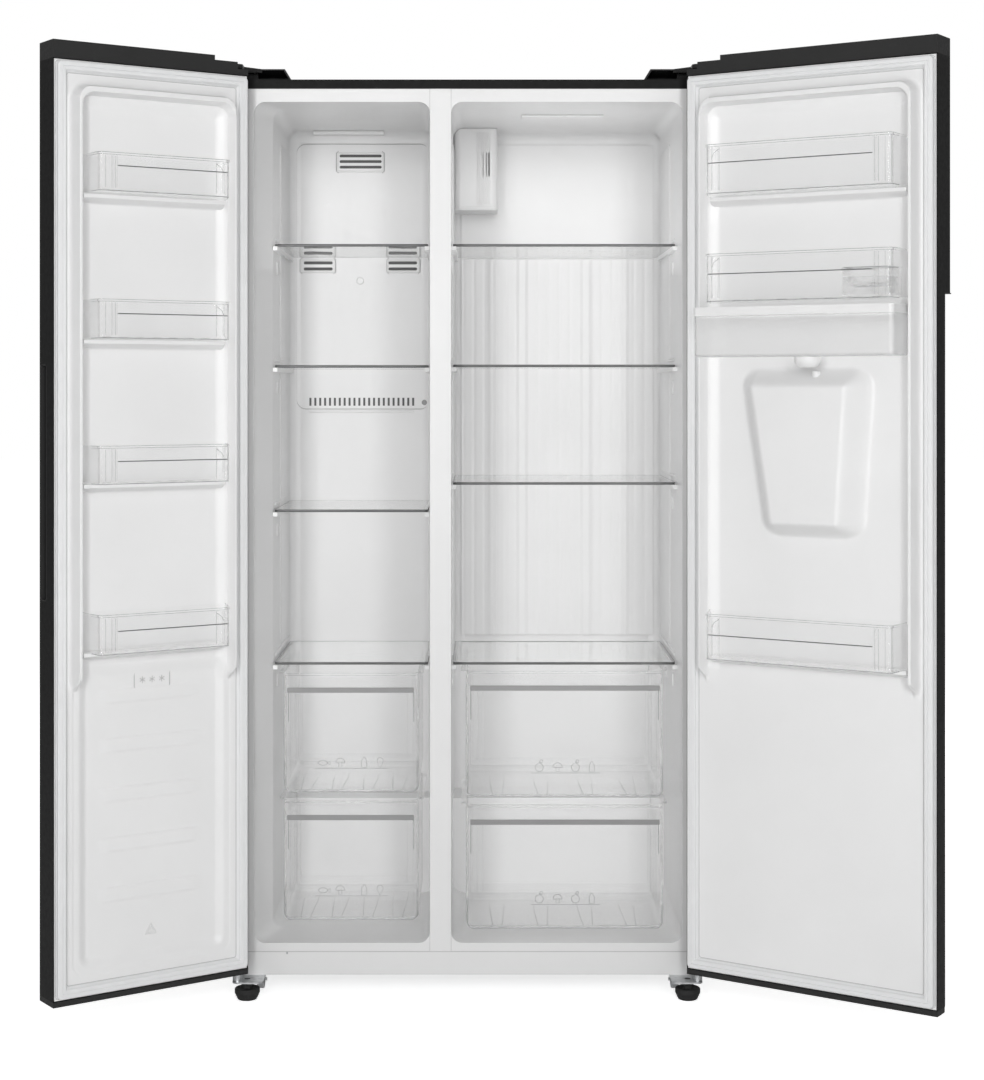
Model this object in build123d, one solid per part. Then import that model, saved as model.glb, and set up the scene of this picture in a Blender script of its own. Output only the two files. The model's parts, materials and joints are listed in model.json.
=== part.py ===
from build123d import *
import os

# Side by side refrigerator, standing with both doors open. Millimetres, +Z up, front towards -Y.
# Pieces are worked out with X = 0 on the cabinet's centre line, Y = 0 on the face of the front
# frame and Z = 0 on the floor. keep() then moves them all, so that the origin of the finished
# object is on the floor, under the middle of the box around it.

# ---------------------------------------------------------------- driving dimensions
# cabinet
cabinet_width = 895.0
cabinet_top = 1757.0
cabinet_bottom = 38.5
cabinet_depth = 620.0
sheet = 1.2                      # painted and galvanised steel
liner_wall = 1.5                 # vacuum formed plastic
frame_sheet = 2.0                # front frame
cover_sheet = 3.0                # machine space cover
top_band = 18.0                  # dark return of the top sheet, above the front frame

# compartments
mullion_middle = -52.0
mullion_width = 40.0
opening_left = -410.0
opening_right = 412.0
opening_low = 100.0
opening_high = 1714.0
opening_radius = 22.0
freezer_side_wall = -384.0       # the freezer's outer wall is thicker behind its opening
mullion_draft = 4.0
flare_from = 24.0
flare_to = 110.0
compartment_depth = 548.0
step_depth = 400.0               # the machine space takes the bottom rear corner
step_height = 300.0
machine_front = 440.0
machine_top = 262.0

# shelves and drawers
shelf_front = 115.0
shelf_back = 457.0
glass = 5.0
shelf_gap = 3.0
freezer_shelf_tops = (1449.0, 1210.0, 925.0)
fridge_shelf_tops = (1449.0, 1211.0, 979.0)
cover_glass_top = 624.0
ledge_height = 8.0
ledge_width = 9.0
drawer_front = 88.0
drawer_back_upper = 440.0
drawer_back_lower = 388.0
drawer_wall = 2.5
drawer_corner = 16.0
freezer_drawer_x = (-362.0, -96.0)
fridge_drawer_x = (-4.0, 384.0)
freezer_drawer_z = ((371.0, 606.0), (121.0, 357.0))
fridge_drawer_z = ((362.0, 610.0), (104.0, 348.0))
grip_drop = 32.0
grip_reach = 13.0

# ducts
freezer_duct_face = 475.0
fridge_duct_face = 515.0
duct_wall = 2.0
duct_joint = 1449.0
duct_cover_top = 1691.0
upper_vent = ((-277.0, -187.0), (1633.0, 1669.0))
lower_vents = (((-354.0, -292.0), (1414.0, 1440.0)), ((-172.0, -111.0), (1414.0, 1440.0)))
return_grille_x = -342.0
return_grille_z = (1127.0, 1144.0)
return_slots = 22
return_pitch = 10.5
return_slot = 4.5
duct_ribs = (6.0, 62.0, 128.0, 254.0, 320.0, 376.0)
damper_right = 61.0
damper_front = 402.0
damper_z = (1541.0, 1713.0)
damper_slits = (30.0, 36.0, 42.0)
damper_slit_z = (1612.0, 1662.0)
freezer_lamp_x = (-331.0, -181.0)
fridge_lamp_x = (108.0, 272.0)

# doors, in door coordinates: x from the hinge edge, y = 0 on the inner face and positive towards
# the compartment, z from the floor
door_thickness = 66.0
door_gap = 12.0
door_split = 4.0
door_low = 54.5
door_high = 1790.0
door_panel_low = 64.5
door_panel_high = 1757.0
hinge_step = 9.0                 # the top cap is this much lower beside the hinge
hinge_step_reach = 70.0
hinge_pocket = 22.0              # pocket for the hinge arm in the top cap
hinge_pocket_floor = 1768.0
pivot_in = 10.0                  # pivot from the cabinet's side
pivot_out = 36.0                 # pivot in front of the front frame
freezer_door_open = 145.5
fridge_door_open = 146.5
door_edge_radius = 6.0
liner_inset = 2.5
gasket_inset = 5.0
gasket_width = 20.0
gasket_gap = 0.8

# raised border and shelves moulded in the door liners
border_hinge = (39.0, 50.0)
border_free = (46.5, 34.0)       # measured back from the free edge
border_top = (1693.0, 1710.0)
border_low = 632.0
border_rise = 34.0
border_corner = 28.0
recess_side = 50.0
recess_low = 112.0
recess_below_ledge = 12.0
recess_drop = 9.0
liner_edge = 14.0                # the liner's rim reaches this far into the skin
bin_ledge = 15.0
bin_ledge_reach = 30.0

# door bins
bin_wall = 2.2
bin_reach = 87.0
bin_start = 9.0
bin_hinge_near = 54.0
bin_hinge_far = 86.0
bin_free_end = 47.5
bin_rest_gap = 0.4
freezer_bin_z = ((1515.0, 1584.0), (1253.0, 1323.0), (993.0, 1062.0), (690.5, 762.0))
fridge_bin_z = ((1521.0, 1612.0), (1323.0, 1411.0), (666.0, 750.0))

# water dispenser
tank_z = (1222.0, 1297.0)
tank_lid_top = 1313.0
bulge_top = (114.0, 384.0)
bulge_low = (158.0, 362.0)
bulge_z = (889.0, 1200.0)
bulge_rise = 46.0
bulge_slope = 30.0
niche_x = (186.0, 326.0)
niche_z = (936.0, 1160.0)
niche_back = 30.0
housing_wall = 2.0
nozzle_x = 272.0

# grips in the free edges
freezer_grip_z = (780.0, 1208.0)
freezer_grip_lip = 9.0
freezer_grip_depth = 24.0
freezer_grip_width = 28.0
fridge_grip_top = 1335.0
fridge_grip_depth = 22.0
fridge_grip_width = 31.0
grip_wall = 2.0

# hinges, feet and rollers
pin_radius = 5.0
running_gap = 0.05
hinge_plate = 3.0
hinge_arm = 9.0                  # half the arm's width
hinge_cover_top = 1780.0
foot_x = 420.0
foot_y = -24.0
foot_radius = 24.0
foot_base_radius = 18.0
foot_taper = 13.0
foot_top = 22.0
roller_radius = 17.0
roller_lift = 1.0
rear_roller_y = 560.0

# ---------------------------------------------------------------- derived sizes
half_width = cabinet_width / 2
freezer_x = (opening_left, mullion_middle - mullion_width / 2)
fridge_x = (mullion_middle + mullion_width / 2, opening_right)
freezer_inner_x = (freezer_side_wall, freezer_x[1] - mullion_draft)
freezer_door_width = half_width + mullion_middle - door_split / 2
fridge_door_width = half_width - mullion_middle - door_split / 2
pivot_x = half_width - pivot_in
local_pivot_y = door_gap - pivot_out
frame_top = cabinet_top - top_band

parts = {}


# ---------------------------------------------------------------- helpers
def block(x, y, z):
    """Box between pairs of coordinates."""
    centre = ((x[0] + x[1]) / 2, (y[0] + y[1]) / 2, (z[0] + z[1]) / 2)
    return Pos(*centre) * Box(abs(x[1] - x[0]), abs(y[1] - y[0]), abs(z[1] - z[0]))


def bar(x, y, z, radius, along):
    """Box whose four edges along one axis are rounded."""
    start = {"X": (x[0], sum(y) / 2, sum(z) / 2), "Y": (sum(x) / 2, y[0], sum(z) / 2),
             "Z": (sum(x) / 2, sum(y) / 2, z[0])}[along]
    x_dir = (0, 1, 0) if along == "X" else (1, 0, 0)
    z_dir = {"X": (1, 0, 0), "Y": (0, 1, 0), "Z": (0, 0, 1)}[along]
    spans = {"X": x[1] - x[0], "Y": y[1] - y[0], "Z": z[1] - z[0]}
    flat = [spans[axis] for axis in "XYZ" if axis != along]
    plane = Plane(origin=start, x_dir=x_dir, z_dir=z_dir)
    return extrude(plane * RectangleRounded(flat[0], flat[1], radius), spans[along])


def rod(radius, start, length, along):
    """Round bar that begins at start and runs along +X, +Y or +Z."""
    z_dir = {"X": (1, 0, 0), "Y": (0, 1, 0), "Z": (0, 0, 1)}[along]
    return extrude(Plane(origin=start, z_dir=z_dir) * Circle(radius), length)


def fused(shapes):
    """One shape from several that touch or overlap."""
    first, *rest = shapes
    return first.fuse(*rest) if rest else first


def tub(x, y, z, wall, corner, floor_corner):
    """Open box with rounded upright and floor edges."""
    def solid(grow, top):
        body = block((x[0] + grow, x[1] - grow), (y[0] + grow, y[1] - grow), (z[0] + grow, top))
        body = fillet(body.edges().filter_by(Axis.Z), corner - grow)
        return fillet(body.faces().sort_by(Axis.Z)[0].edges(), floor_corner - grow)
    return solid(0, z[1]) - solid(wall, z[1] + wall + floor_corner)


def keep(name, *shapes):
    """Registers a node from one or more solids, in cabinet coordinates."""
    parts[name] = [solid for shape in shapes for solid in shape.solids()]


def on_door(shape, opened):
    """A left-hand door's piece, from door coordinates to the open door."""
    closed = Pos(-half_width, -door_gap, 0) * shape
    return closed.rotate(Axis((-pivot_x, -pivot_out, 0), (0, 0, 1)), -opened)


def keep_on_freezer_door(name, *shapes):
    keep(name, *[on_door(shape, freezer_door_open) for shape in shapes])


def keep_on_fridge_door(name, *shapes):
    keep(name, *[mirror(on_door(shape, fridge_door_open), about=Plane.YZ) for shape in shapes])


def both_sides(make):
    """The same piece at the left and, mirrored, at the right."""
    left = make()
    return left, mirror(left, about=Plane.YZ)


# ---------------------------------------------------------------- cabinet
def freezer_cavity(grow):
    """The freezer's inside, with each wall moved out by grow."""
    middle_z = (opening_low + opening_high) / 2
    height = opening_high - opening_low + 2 * grow

    def outline(x, y):
        plane = Plane(origin=(sum(x) / 2, y, middle_z), x_dir=(1, 0, 0), z_dir=(0, 1, 0))
        return plane * RectangleRounded(x[1] - x[0] + 2 * grow, height, opening_radius + grow)

    mouth = extrude(outline(freezer_x, 0), flare_from)
    flare = loft([outline(freezer_x, flare_from), outline(freezer_inner_x, flare_to)], ruled=True)
    depth = compartment_depth + grow - flare_to
    return fused([mouth, flare, extrude(outline(freezer_inner_x, flare_to), depth)])


def fridge_cavity(grow):
    """The refrigerator's inside, with each wall moved out by grow."""
    x = (fridge_x[0] - grow, fridge_x[1] + grow)
    z = (opening_low - grow, opening_high + grow)
    return bar(x, (0, compartment_depth + grow), z, opening_radius + grow, "Y")


def liner(cavity):
    """A compartment's tub: open at the front, stepped over the machine space."""
    def inside(grow):
        step = block((-half_width, half_width), (step_depth + grow, cabinet_depth),
                     (0, step_height - grow))
        return cavity(grow) - step
    behind_frame = block((-half_width, half_width), (-1, frame_sheet), (0, cabinet_top))
    return inside(liner_wall) - inside(0) - behind_frame


def shelf_ledges(x, tops):
    """Ledges on both side walls, under each pair of shelf edges."""
    ledges = []
    for top in tops:
        z = (top - glass - ledge_height, top - glass)
        for wall, inward in ((x[0], 1), (x[1], -1)):
            span = sorted((wall, wall + inward * ledge_width))
            ledges.append(block(span, (shelf_front - 12, shelf_back + 8), z))
    return ledges


def make_cabinet():
    outside = block((-half_width, half_width), (0, cabinet_depth), (cabinet_bottom, cabinet_top))
    hollow = block((-half_width + sheet, half_width - sheet), (-1, cabinet_depth + 1),
                   (0, cabinet_top - sheet))
    band = block((-half_width, half_width), (0, frame_sheet), (frame_top, cabinet_top))
    keep("outer_shell", fused([outside - hollow, band]))

    inner = half_width - sheet
    rear = (cabinet_depth - sheet, cabinet_depth)
    keep("rear_panel", block((-inner, inner), rear, (machine_top, cabinet_top - sheet)))

    pan_low = cabinet_bottom
    pan = block((-inner, inner), (frame_sheet, cabinet_depth), (pan_low, pan_low + sheet))
    wall = block((-inner, inner), (machine_front, machine_front + sheet), (pan_low, machine_top))
    ceiling = block((-inner, inner), (machine_front, cabinet_depth - sheet),
                    (machine_top, machine_top + sheet))
    pan -= block((-inner - 1, inner + 1), (cabinet_depth - cover_sheet, cabinet_depth + 1), (0, 60))
    keep("base_pan", fused([pan, wall, ceiling]))

    make_foam(inner, pan_low + sheet)
    freezer = liner(freezer_cavity)
    fridge = liner(fridge_cavity)
    keep("freezer_liner",
         fused([freezer] + shelf_ledges(freezer_inner_x, freezer_shelf_tops + (cover_glass_top,))))
    keep("fridge_liner",
         fused([fridge] + shelf_ledges(fridge_x, fridge_shelf_tops + (cover_glass_top,))))
    make_front_frame(inner)


def make_foam(inner, low):
    """Insulation as slabs between the sheets and the liners, each one convex."""
    skin = liner_wall
    top = cabinet_top - sheet
    back = cabinet_depth - sheet
    ceiling = opening_high + skin
    floor = opening_low - skin
    front = frame_sheet
    behind = compartment_depth + skin
    step_wall = step_depth + skin
    step_top = step_height - skin
    mullion = (freezer_inner_x[1] + skin, fridge_x[0] - skin)
    slim = (freezer_x[1] + skin, fridge_x[0] - skin)
    side = freezer_inner_x[0] - skin
    edge = freezer_x[0] - skin
    machine = machine_top + sheet
    right = fridge_x[1] + skin
    everywhere = (-inner, inner)
    slabs = [
        block(everywhere, (front, step_wall), (low, floor)),
        block(everywhere, (step_wall, machine_front), (low, step_top)),
        block(everywhere, (machine_front, back), (machine, step_top)),
        block(everywhere, (behind, back), (step_top, ceiling)),
        block(everywhere, (front, back), (ceiling, top)),
        block((-inner, edge), (front, flare_to), (floor, ceiling)),
        block(slim, (front, flare_to), (floor, ceiling)),
        block((right, inner), (front, flare_to), (floor, ceiling)),
    ]
    flare = make_face(Polyline((edge, flare_from), (side, flare_to), (edge, flare_to), close=True))
    slabs.append(extrude(Pos(0, 0, floor) * flare, ceiling - floor))
    for x in ((-inner, side), mullion, (right, inner)):
        slabs.append(block(x, (flare_to, step_wall), (floor, ceiling)))
        slabs.append(block(x, (step_wall, behind), (step_top, ceiling)))
    keep("cabinet_foam", *slabs)


def make_front_frame(inner):
    """White face of the cabinet: a frame at each side, the mullion cover and the bottom rail."""
    face = (0, frame_sheet)
    rail_top = opening_low - 17
    seam = 0.8
    middle = (freezer_x[1], fridge_x[0])
    left = block((-inner, middle[0] - seam), face, (rail_top + seam, frame_top))
    right = block((middle[1] + seam, inner), face, (rail_top + seam, frame_top))
    mouth = bar(freezer_x, (-1, 4), (opening_low, opening_high), opening_radius, "Y")
    right_mouth = bar(fridge_x, (-1, 4), (opening_low, opening_high),
                      opening_radius, "Y")
    rail = block((-inner, inner), face, (cabinet_bottom, rail_top))
    cover = block(middle, (-0.6, frame_sheet), (rail_top + seam, frame_top))
    keep("front_frame", left - mouth, right - right_mouth, rail, cover)


# ---------------------------------------------------------------- ducts, lamps and cooling
def vent(x, z, slots, face, depth=6):
    """Cutters for a stack of level slots."""
    pitch = (z[1] - z[0]) / slots
    height = pitch * 0.5
    return [bar(x, (face - depth, face + depth), (z[0] + pitch * (i + 0.25),
                z[0] + pitch * (i + 0.25) + height), height / 2.2, "Y") for i in range(slots)]


def make_ducts():
    face = freezer_duct_face
    y = (face, face + duct_wall)
    x = (freezer_inner_x[0] + 6, freezer_inner_x[1] - 6)
    upper = bar(x, y, (duct_joint + 1, duct_cover_top), 16, "Y")
    lower = block(x, y, (step_height + 1, duct_joint - 1))
    for cutter in vent(*upper_vent, 3, face):
        upper -= cutter
    for vent_x, vent_z in lower_vents:
        for cutter in vent(vent_x, vent_z, 2, face):
            lower -= cutter
    for i in range(return_slots):
        slot_x = return_grille_x + i * return_pitch
        lower -= block((slot_x, slot_x + return_slot), (face - 4, face + 4), return_grille_z)
    keep("freezer_duct_covers", upper, lower)

    face = fridge_duct_face
    x = (fridge_x[0] + 6, fridge_x[1] - 6)
    panel = block(x, (face, face + duct_wall), (step_height + 1, duct_cover_top + 5))
    ribs = [block((rib, rib + 5), (face - 3, face), (cover_glass_top + 16, duct_joint - 4))
            for rib in duct_ribs]
    box_x = (fridge_x[0] + 1, damper_right)
    outer = bar(box_x, (damper_front, face), damper_z, 14, "Z") & fridge_cavity(-0.6)
    inner = bar((box_x[0] + 2, box_x[1] - 2), (damper_front + 2, face + 1),
                (damper_z[0] + 2, damper_z[1] - 7), 12, "Z")
    damper = outer - inner
    for slit in damper_slits:
        damper -= block((slit, slit + 2.5), (damper_front - 6, damper_front + 10), damper_slit_z)
    keep("fridge_air_duct", fused([panel] + ribs), damper)

    freezer_lamp = bar(freezer_lamp_x, (446, 470), (opening_high - 9, opening_high), 4, "X")
    fridge_lamp = bar(fridge_lamp_x, (190, 240), (opening_high - 5, opening_high), 2, "X")
    keep("lamp_covers", freezer_lamp, fridge_lamp)


def finned_coil(x, y, z, fins, rows, along):
    """Tubes that run along X through upright fins."""
    pitch = (x[1] - x[0]) / (fins - 1)
    pieces = [block((x[0] + i * pitch - 0.5, x[0] + i * pitch + 0.5), y, z) for i in range(fins)]
    for row in range(rows):
        height = z[0] + (z[1] - z[0]) * (row + 0.5) / rows
        for depth in (0.27, 0.73):
            middle = y[0] + (y[1] - y[0]) * depth
            pieces.append(rod(along, (x[0] - 12, middle, height), x[1] - x[0] + 24, "X"))
    return fused(pieces)


def fan(centre, radius, along):
    """Hub with five pitched blades, bored for its motor shaft."""
    hub_radius = 16
    hub_length = 14
    hub = Cylinder(hub_radius, hub_length)
    blades = []
    for i in range(5):
        blade = Pos((radius + hub_radius) / 2 - 2, 0, 0) * Box(radius - hub_radius + 4, 26, 2)
        blade = blade.rotate(Axis.X, 28)
        blades.append(blade.rotate(Axis.Z, 72 * i))
    rotor = fused([hub] + blades) - Cylinder(3 + running_gap, hub_length + 2)
    if along == "X":
        rotor = rotor.rotate(Axis.Y, 90)
    else:
        rotor = rotor.rotate(Axis.X, 90)
    return Pos(*centre) * rotor


def make_cooling():
    coil_y = (freezer_duct_face + duct_wall + 6, compartment_depth - 8)
    evaporator_x = (-350, -110)
    keep("evaporator", finned_coil(evaporator_x, coil_y, (1150, 1380), 28, 7, 4))

    fan_centre = (-232, 512, 1540)
    keep("evaporator_fan", fan(fan_centre, 52, "Y"))
    motor = rod(20, (fan_centre[0], fan_centre[1] + 9, fan_centre[2]), 27, "Y")
    shaft = rod(3, (fan_centre[0], fan_centre[1] - 6, fan_centre[2]), 16, "Y")

    blower_centre = (30, 530, 140)
    keep("condenser_fan", fan(blower_centre, 62, "X"))
    blower = rod(22, (blower_centre[0] + 10, blower_centre[1], blower_centre[2]), 30, "X")
    blower_shaft = rod(3, (blower_centre[0] - 6, blower_centre[1], blower_centre[2]), 18, "X")
    post = block((blower_centre[0] + 14, blower_centre[0] + 30),
                 (blower_centre[1] - 10, blower_centre[1] + 10),
                 (cabinet_bottom + sheet, blower_centre[2] - 18))
    keep("fan_motors", fused([motor, shaft]), fused([blower, blower_shaft, post]))

    keep("condenser", finned_coil((110, 330), (474, 586), (60, 200), 26, 5, 4.5))

    floor = cabinet_bottom + sheet
    shell = Pos(-250, 530, floor + 100) * Cylinder(66, 156)
    shell = fillet(shell.edges(), 28)
    seam = Pos(-250, 530, floor + 104) * Cylinder(69, 6)
    plate = block((-350, -150), (478, 582), (floor + 16, floor + 22))
    feet = [rod(11, (x, y, floor), 16, "Z") for x in (-336, -164) for y in (492, 568)]
    keep("compressor", fused([shell, seam, plate] + feet))


def make_machine_cover():
    low = cabinet_bottom + sheet
    cover = block((-half_width + 8, half_width - 8), (cabinet_depth - cover_sheet, cabinet_depth),
                  (low, machine_top - 1))
    for column in range(14):
        x = -360 + column * 30
        for row in range(4):
            z = 80 + row * 44
            cover -= bar((x, x + 18), (cabinet_depth - 6, cabinet_depth + 3), (z, z + 6), 2.9, "Y")
    socket_x = (240, 290)
    socket_z = (180, 210)
    cover -= block(socket_x, (cabinet_depth - 6, cabinet_depth + 3), socket_z)
    keep("machine_cover", cover)

    body = block(socket_x, (cabinet_depth - 28, cabinet_depth), socket_z)
    pocket = bar((socket_x[0] + 8, socket_x[1] - 8), (cabinet_depth - 20, cabinet_depth + 1),
                 (socket_z[0] + 5, socket_z[1] - 5), 4, "Y")
    middle = (sum(socket_x) / 2, sum(socket_z) / 2)
    blades = [block((middle[0] + dx - 1, middle[0] + dx + 1), (cabinet_depth - 21, cabinet_depth - 6),
                    (middle[1] + dz - 2.5, middle[1] + dz + 2.5))
              for dx, dz in ((-8, -2), (0, 3), (8, -2))]
    keep("power_inlet", fused([body - pocket] + blades))


# ---------------------------------------------------------------- shelves and drawers
def make_shelves():
    for kind, x, tops in (("freezer", freezer_inner_x, freezer_shelf_tops),
                          ("fridge", fridge_x, fridge_shelf_tops)):
        for number, top in enumerate(tops, 1):
            pane = bar((x[0] + shelf_gap, x[1] - shelf_gap), (shelf_front, shelf_back),
                       (top - glass, top), 6, "Z")
            keep(f"{kind}_shelf_{number}", pane)
    covers = [bar((x[0] + shelf_gap, x[1] - shelf_gap), (shelf_front, shelf_back),
                  (cover_glass_top - glass, cover_glass_top), 6, "Z")
              for x in (freezer_inner_x, fridge_x)]
    keep("drawer_cover_glass", *covers)


def drawer(x, z, back):
    """Clear tub with a rim on its sides and a turned-down grip along its front."""
    body = tub(x, (drawer_front, back), z, drawer_wall, drawer_corner, 12)
    rim = 4
    flange = 9
    left = block((x[0] - flange, x[0] + 1), (drawer_front + 30, back - 6), (z[1] - rim, z[1]))
    right = block((x[1] - 1, x[1] + flange), (drawer_front + 30, back - 6), (z[1] - rim, z[1]))
    lip_x = (x[0] + 4, x[1] - 4)
    top = block(lip_x, (drawer_front - grip_reach, drawer_front + 1), (z[1] - rim, z[1]))
    lip = bar(lip_x, (drawer_front - grip_reach - 1, drawer_front - grip_reach + 2),
              (z[1] - grip_drop, z[1]), 1.4, "X")
    return fused([body, left, right, top, lip])


def make_drawers():
    backs = (drawer_back_upper, drawer_back_lower)
    for kind, x, spans in (("freezer_drawer", freezer_drawer_x, freezer_drawer_z),
                           ("crisper", fridge_drawer_x, fridge_drawer_z)):
        for level, z, back in zip(("upper", "lower"), spans, backs):
            keep(f"{kind}_{level}", drawer(x, z, back))


# ---------------------------------------------------------------- doors
def bulge(grow):
    """Space that the dispenser niche takes out of the door's inner side."""
    def outline(inset, y):
        top = bulge_z[1] - inset - grow
        low = bulge_z[0] + inset + grow
        inset_x = inset + grow
        points = [(bulge_low[0] + inset_x, low), (bulge_low[1] - inset_x, low),
                  (bulge_top[1] - inset_x, top), (bulge_top[0] + inset_x, top)]
        face = make_face(Polyline(*points, close=True))
        face = fillet(face.vertices(), 24)
        return Plane(origin=(0, y, 0), x_dir=(1, 0, 0), z_dir=(0, -1, 0)) * face
    return loft([outline(0, -1 - grow), outline(bulge_slope, bulge_rise - grow)], ruled=True)


def recess_high(bins):
    """Top of the lower recess, under the lowest bin's ledge."""
    return min(bins) - bin_ledge - recess_below_ledge


def border_bars(width, bins, inset, back, overlap):
    """The raised border and the bins' ledges, whose ends overlap the border's uprights."""
    hinge = (border_hinge[0] + inset, border_hinge[1] - inset)
    free = (width - border_free[0] + inset, width - border_free[1] - inset)
    across = (hinge[1] - overlap, free[0] + overlap)
    rise = (back, border_rise - inset)
    z = (border_low + inset, border_top[1] - inset)
    outline = bar((hinge[0], free[1]), (back - 1, border_rise), (z[0] - 100, z[1]),
                  border_corner - inset, "Y")
    bars = [bar(x, rise, z, 5 - inset, "Z") for x in (hinge, free)]
    bars.append(block(across, rise, (border_top[0] + inset, z[1])))
    ledges = []
    for low in bins:
        top = low - bin_rest_gap
        ledges.append(block(across, (back, bin_ledge_reach - inset),
                            (top - bin_ledge + inset, top - inset)))
    return [outline & upright for upright in bars] + ledges


def door_form(width, bins, inset, with_bulge):
    """The door's inner side: a flat with a raised border, a ledge per bin and a lower recess."""
    pieces = border_bars(width, bins, inset, -1 - inset, 1)
    pieces.append(block((liner_inset + inset, width - liner_inset - inset), (-liner_edge, -inset),
                        (door_panel_low + inset, door_panel_high - inset)))
    if with_bulge:
        pieces.append(bulge(inset))
    form = fused(pieces)
    recess_z = (recess_low - inset, recess_high(bins) + inset)
    return form - bar((recess_side - inset, width - recess_side + inset),
                      (-recess_drop - inset, 40), recess_z, 20, "Y")


def door_skin(width):
    """Bent sheet: front, two edges and a narrow return at the inner face."""
    y = (-door_thickness, 0)
    z = (door_panel_low, door_panel_high)
    outer = block((0, width), y, z)
    front_edges = outer.edges().filter_by(Axis.Z).group_by(Axis.Y)[0]
    outer = fillet(front_edges, door_edge_radius)
    inner = block((sheet, width - sheet), (-door_thickness + sheet, 0), z)
    inner_edges = inner.edges().filter_by(Axis.Z).group_by(Axis.Y)[0]
    return outer - fillet(inner_edges, door_edge_radius - sheet)


def door_caps(width):
    """Moulded top and bottom caps, bored for the hinge pins."""
    y = (-door_thickness, 0)
    top = block((0, width), y, (door_panel_high, door_high))
    top -= block((-1, hinge_step_reach), (y[0] - 1, 1), (door_high - hinge_step, door_high + 1))
    top -= block((-1, hinge_pocket), (y[0] - 1, 1), (hinge_pocket_floor, door_high + 1))
    bottom = block((0, width), y, (door_low, door_panel_low))
    caps = []
    for cap in (top, bottom):
        edges = cap.edges().filter_by(Axis.Z).group_by(Axis.Y)[0]
        caps.append(fillet(edges, door_edge_radius))
    bore = rod(pin_radius + running_gap, (pivot_in, local_pivot_y, 0), door_high + 10, "Z")
    return [cap - bore for cap in caps]


def gasket(width):
    """Magnetic seal: a soft frame with a hollow lip, on the flat around the border."""
    outer_x = (gasket_inset, width - gasket_inset)
    outer_z = (door_panel_low + 5, door_panel_high - 5)
    inner_x = (outer_x[0] + gasket_width, outer_x[1] - gasket_width)
    inner_z = (outer_z[0] + gasket_width, outer_z[1] - gasket_width)
    front = door_gap - gasket_gap
    ring = bar(outer_x, (0, front), outer_z, 8, "Y") - bar(inner_x, (-1, 20), inner_z, 6, "Y")
    groove_x = (outer_x[0] + 8, outer_x[1] - 8)
    groove_z = (outer_z[0] + 8, outer_z[1] - 8)
    land_x = (groove_x[0] + 4, groove_x[1] - 4)
    land_z = (groove_z[0] + 4, groove_z[1] - 4)
    groove = bar(groove_x, (front - 3, 20), groove_z, 6, "Y")
    groove -= bar(land_x, (0, 21), land_z, 5, "Y")
    return ring - groove


def around(x, z, hole_x, hole_z):
    """Spans of the four slabs that frame a hole."""
    return [((x[0], hole_x[0]), z), ((hole_x[1], x[1]), z),
            (hole_x, (z[0], hole_z[0])), (hole_x, (hole_z[1], z[1]))]


def door_foam(width, bins, grip_x, grip_slabs, hole):
    """Insulation between skin and liner, as convex slabs that touch face to face.

    grip_slabs are the (y, z) spans left beside the grip, and hole is the niche's (x, z) or None."""
    inset = liner_wall
    front = -door_thickness + sheet
    panel = (door_panel_low, door_panel_high)
    space = block((sheet, width - sheet), (front, -liner_edge), panel)
    space = fillet(space.edges().filter_by(Axis.Z).group_by(Axis.Y)[0], door_edge_radius)

    def spans(x, z):
        return around(x, z, *hole) if hole else [(x, z)]

    slabs = [space & block(x, (front, -liner_edge), z) for x, z in spans((sheet, grip_x), panel)]
    slabs += [space & block((grip_x, width - sheet), y, z) for y, z in grip_slabs]

    rim = liner_inset + inset
    edges = (rim, width - rim)
    low, high = recess_low - inset, recess_high(bins) + inset
    side = recess_side - inset
    slabs += [
        block(edges, (-liner_edge, -inset), (panel[0] + inset, low)),
        block(edges, (-liner_edge, -recess_drop - inset), (low, high)),
        block((edges[0], side), (-recess_drop - inset, -inset), (low, high)),
        block((width - side, edges[1]), (-recess_drop - inset, -inset), (low, high)),
    ]
    slabs += [block(x, (-liner_edge, -inset), z) for x, z in spans(edges, (high, panel[1] - inset))]

    return slabs + border_bars(width, bins, inset, -inset, 0)


def bulge_foam(hole, valve_hole):
    """Insulation round the dispenser niche, under the liner's bulge."""
    form = bulge(liner_wall)
    everywhere = ((0, fridge_door_width), (0, door_high))
    back = niche_back + housing_wall
    slabs = [form & block(x, (-liner_wall, back), z) for x, z in around(*everywhere, *hole)]
    slabs.append(form & block(everywhere[0], (back, bulge_rise), everywhere[1]))
    return [slab - valve_hole for slab in slabs]


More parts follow.
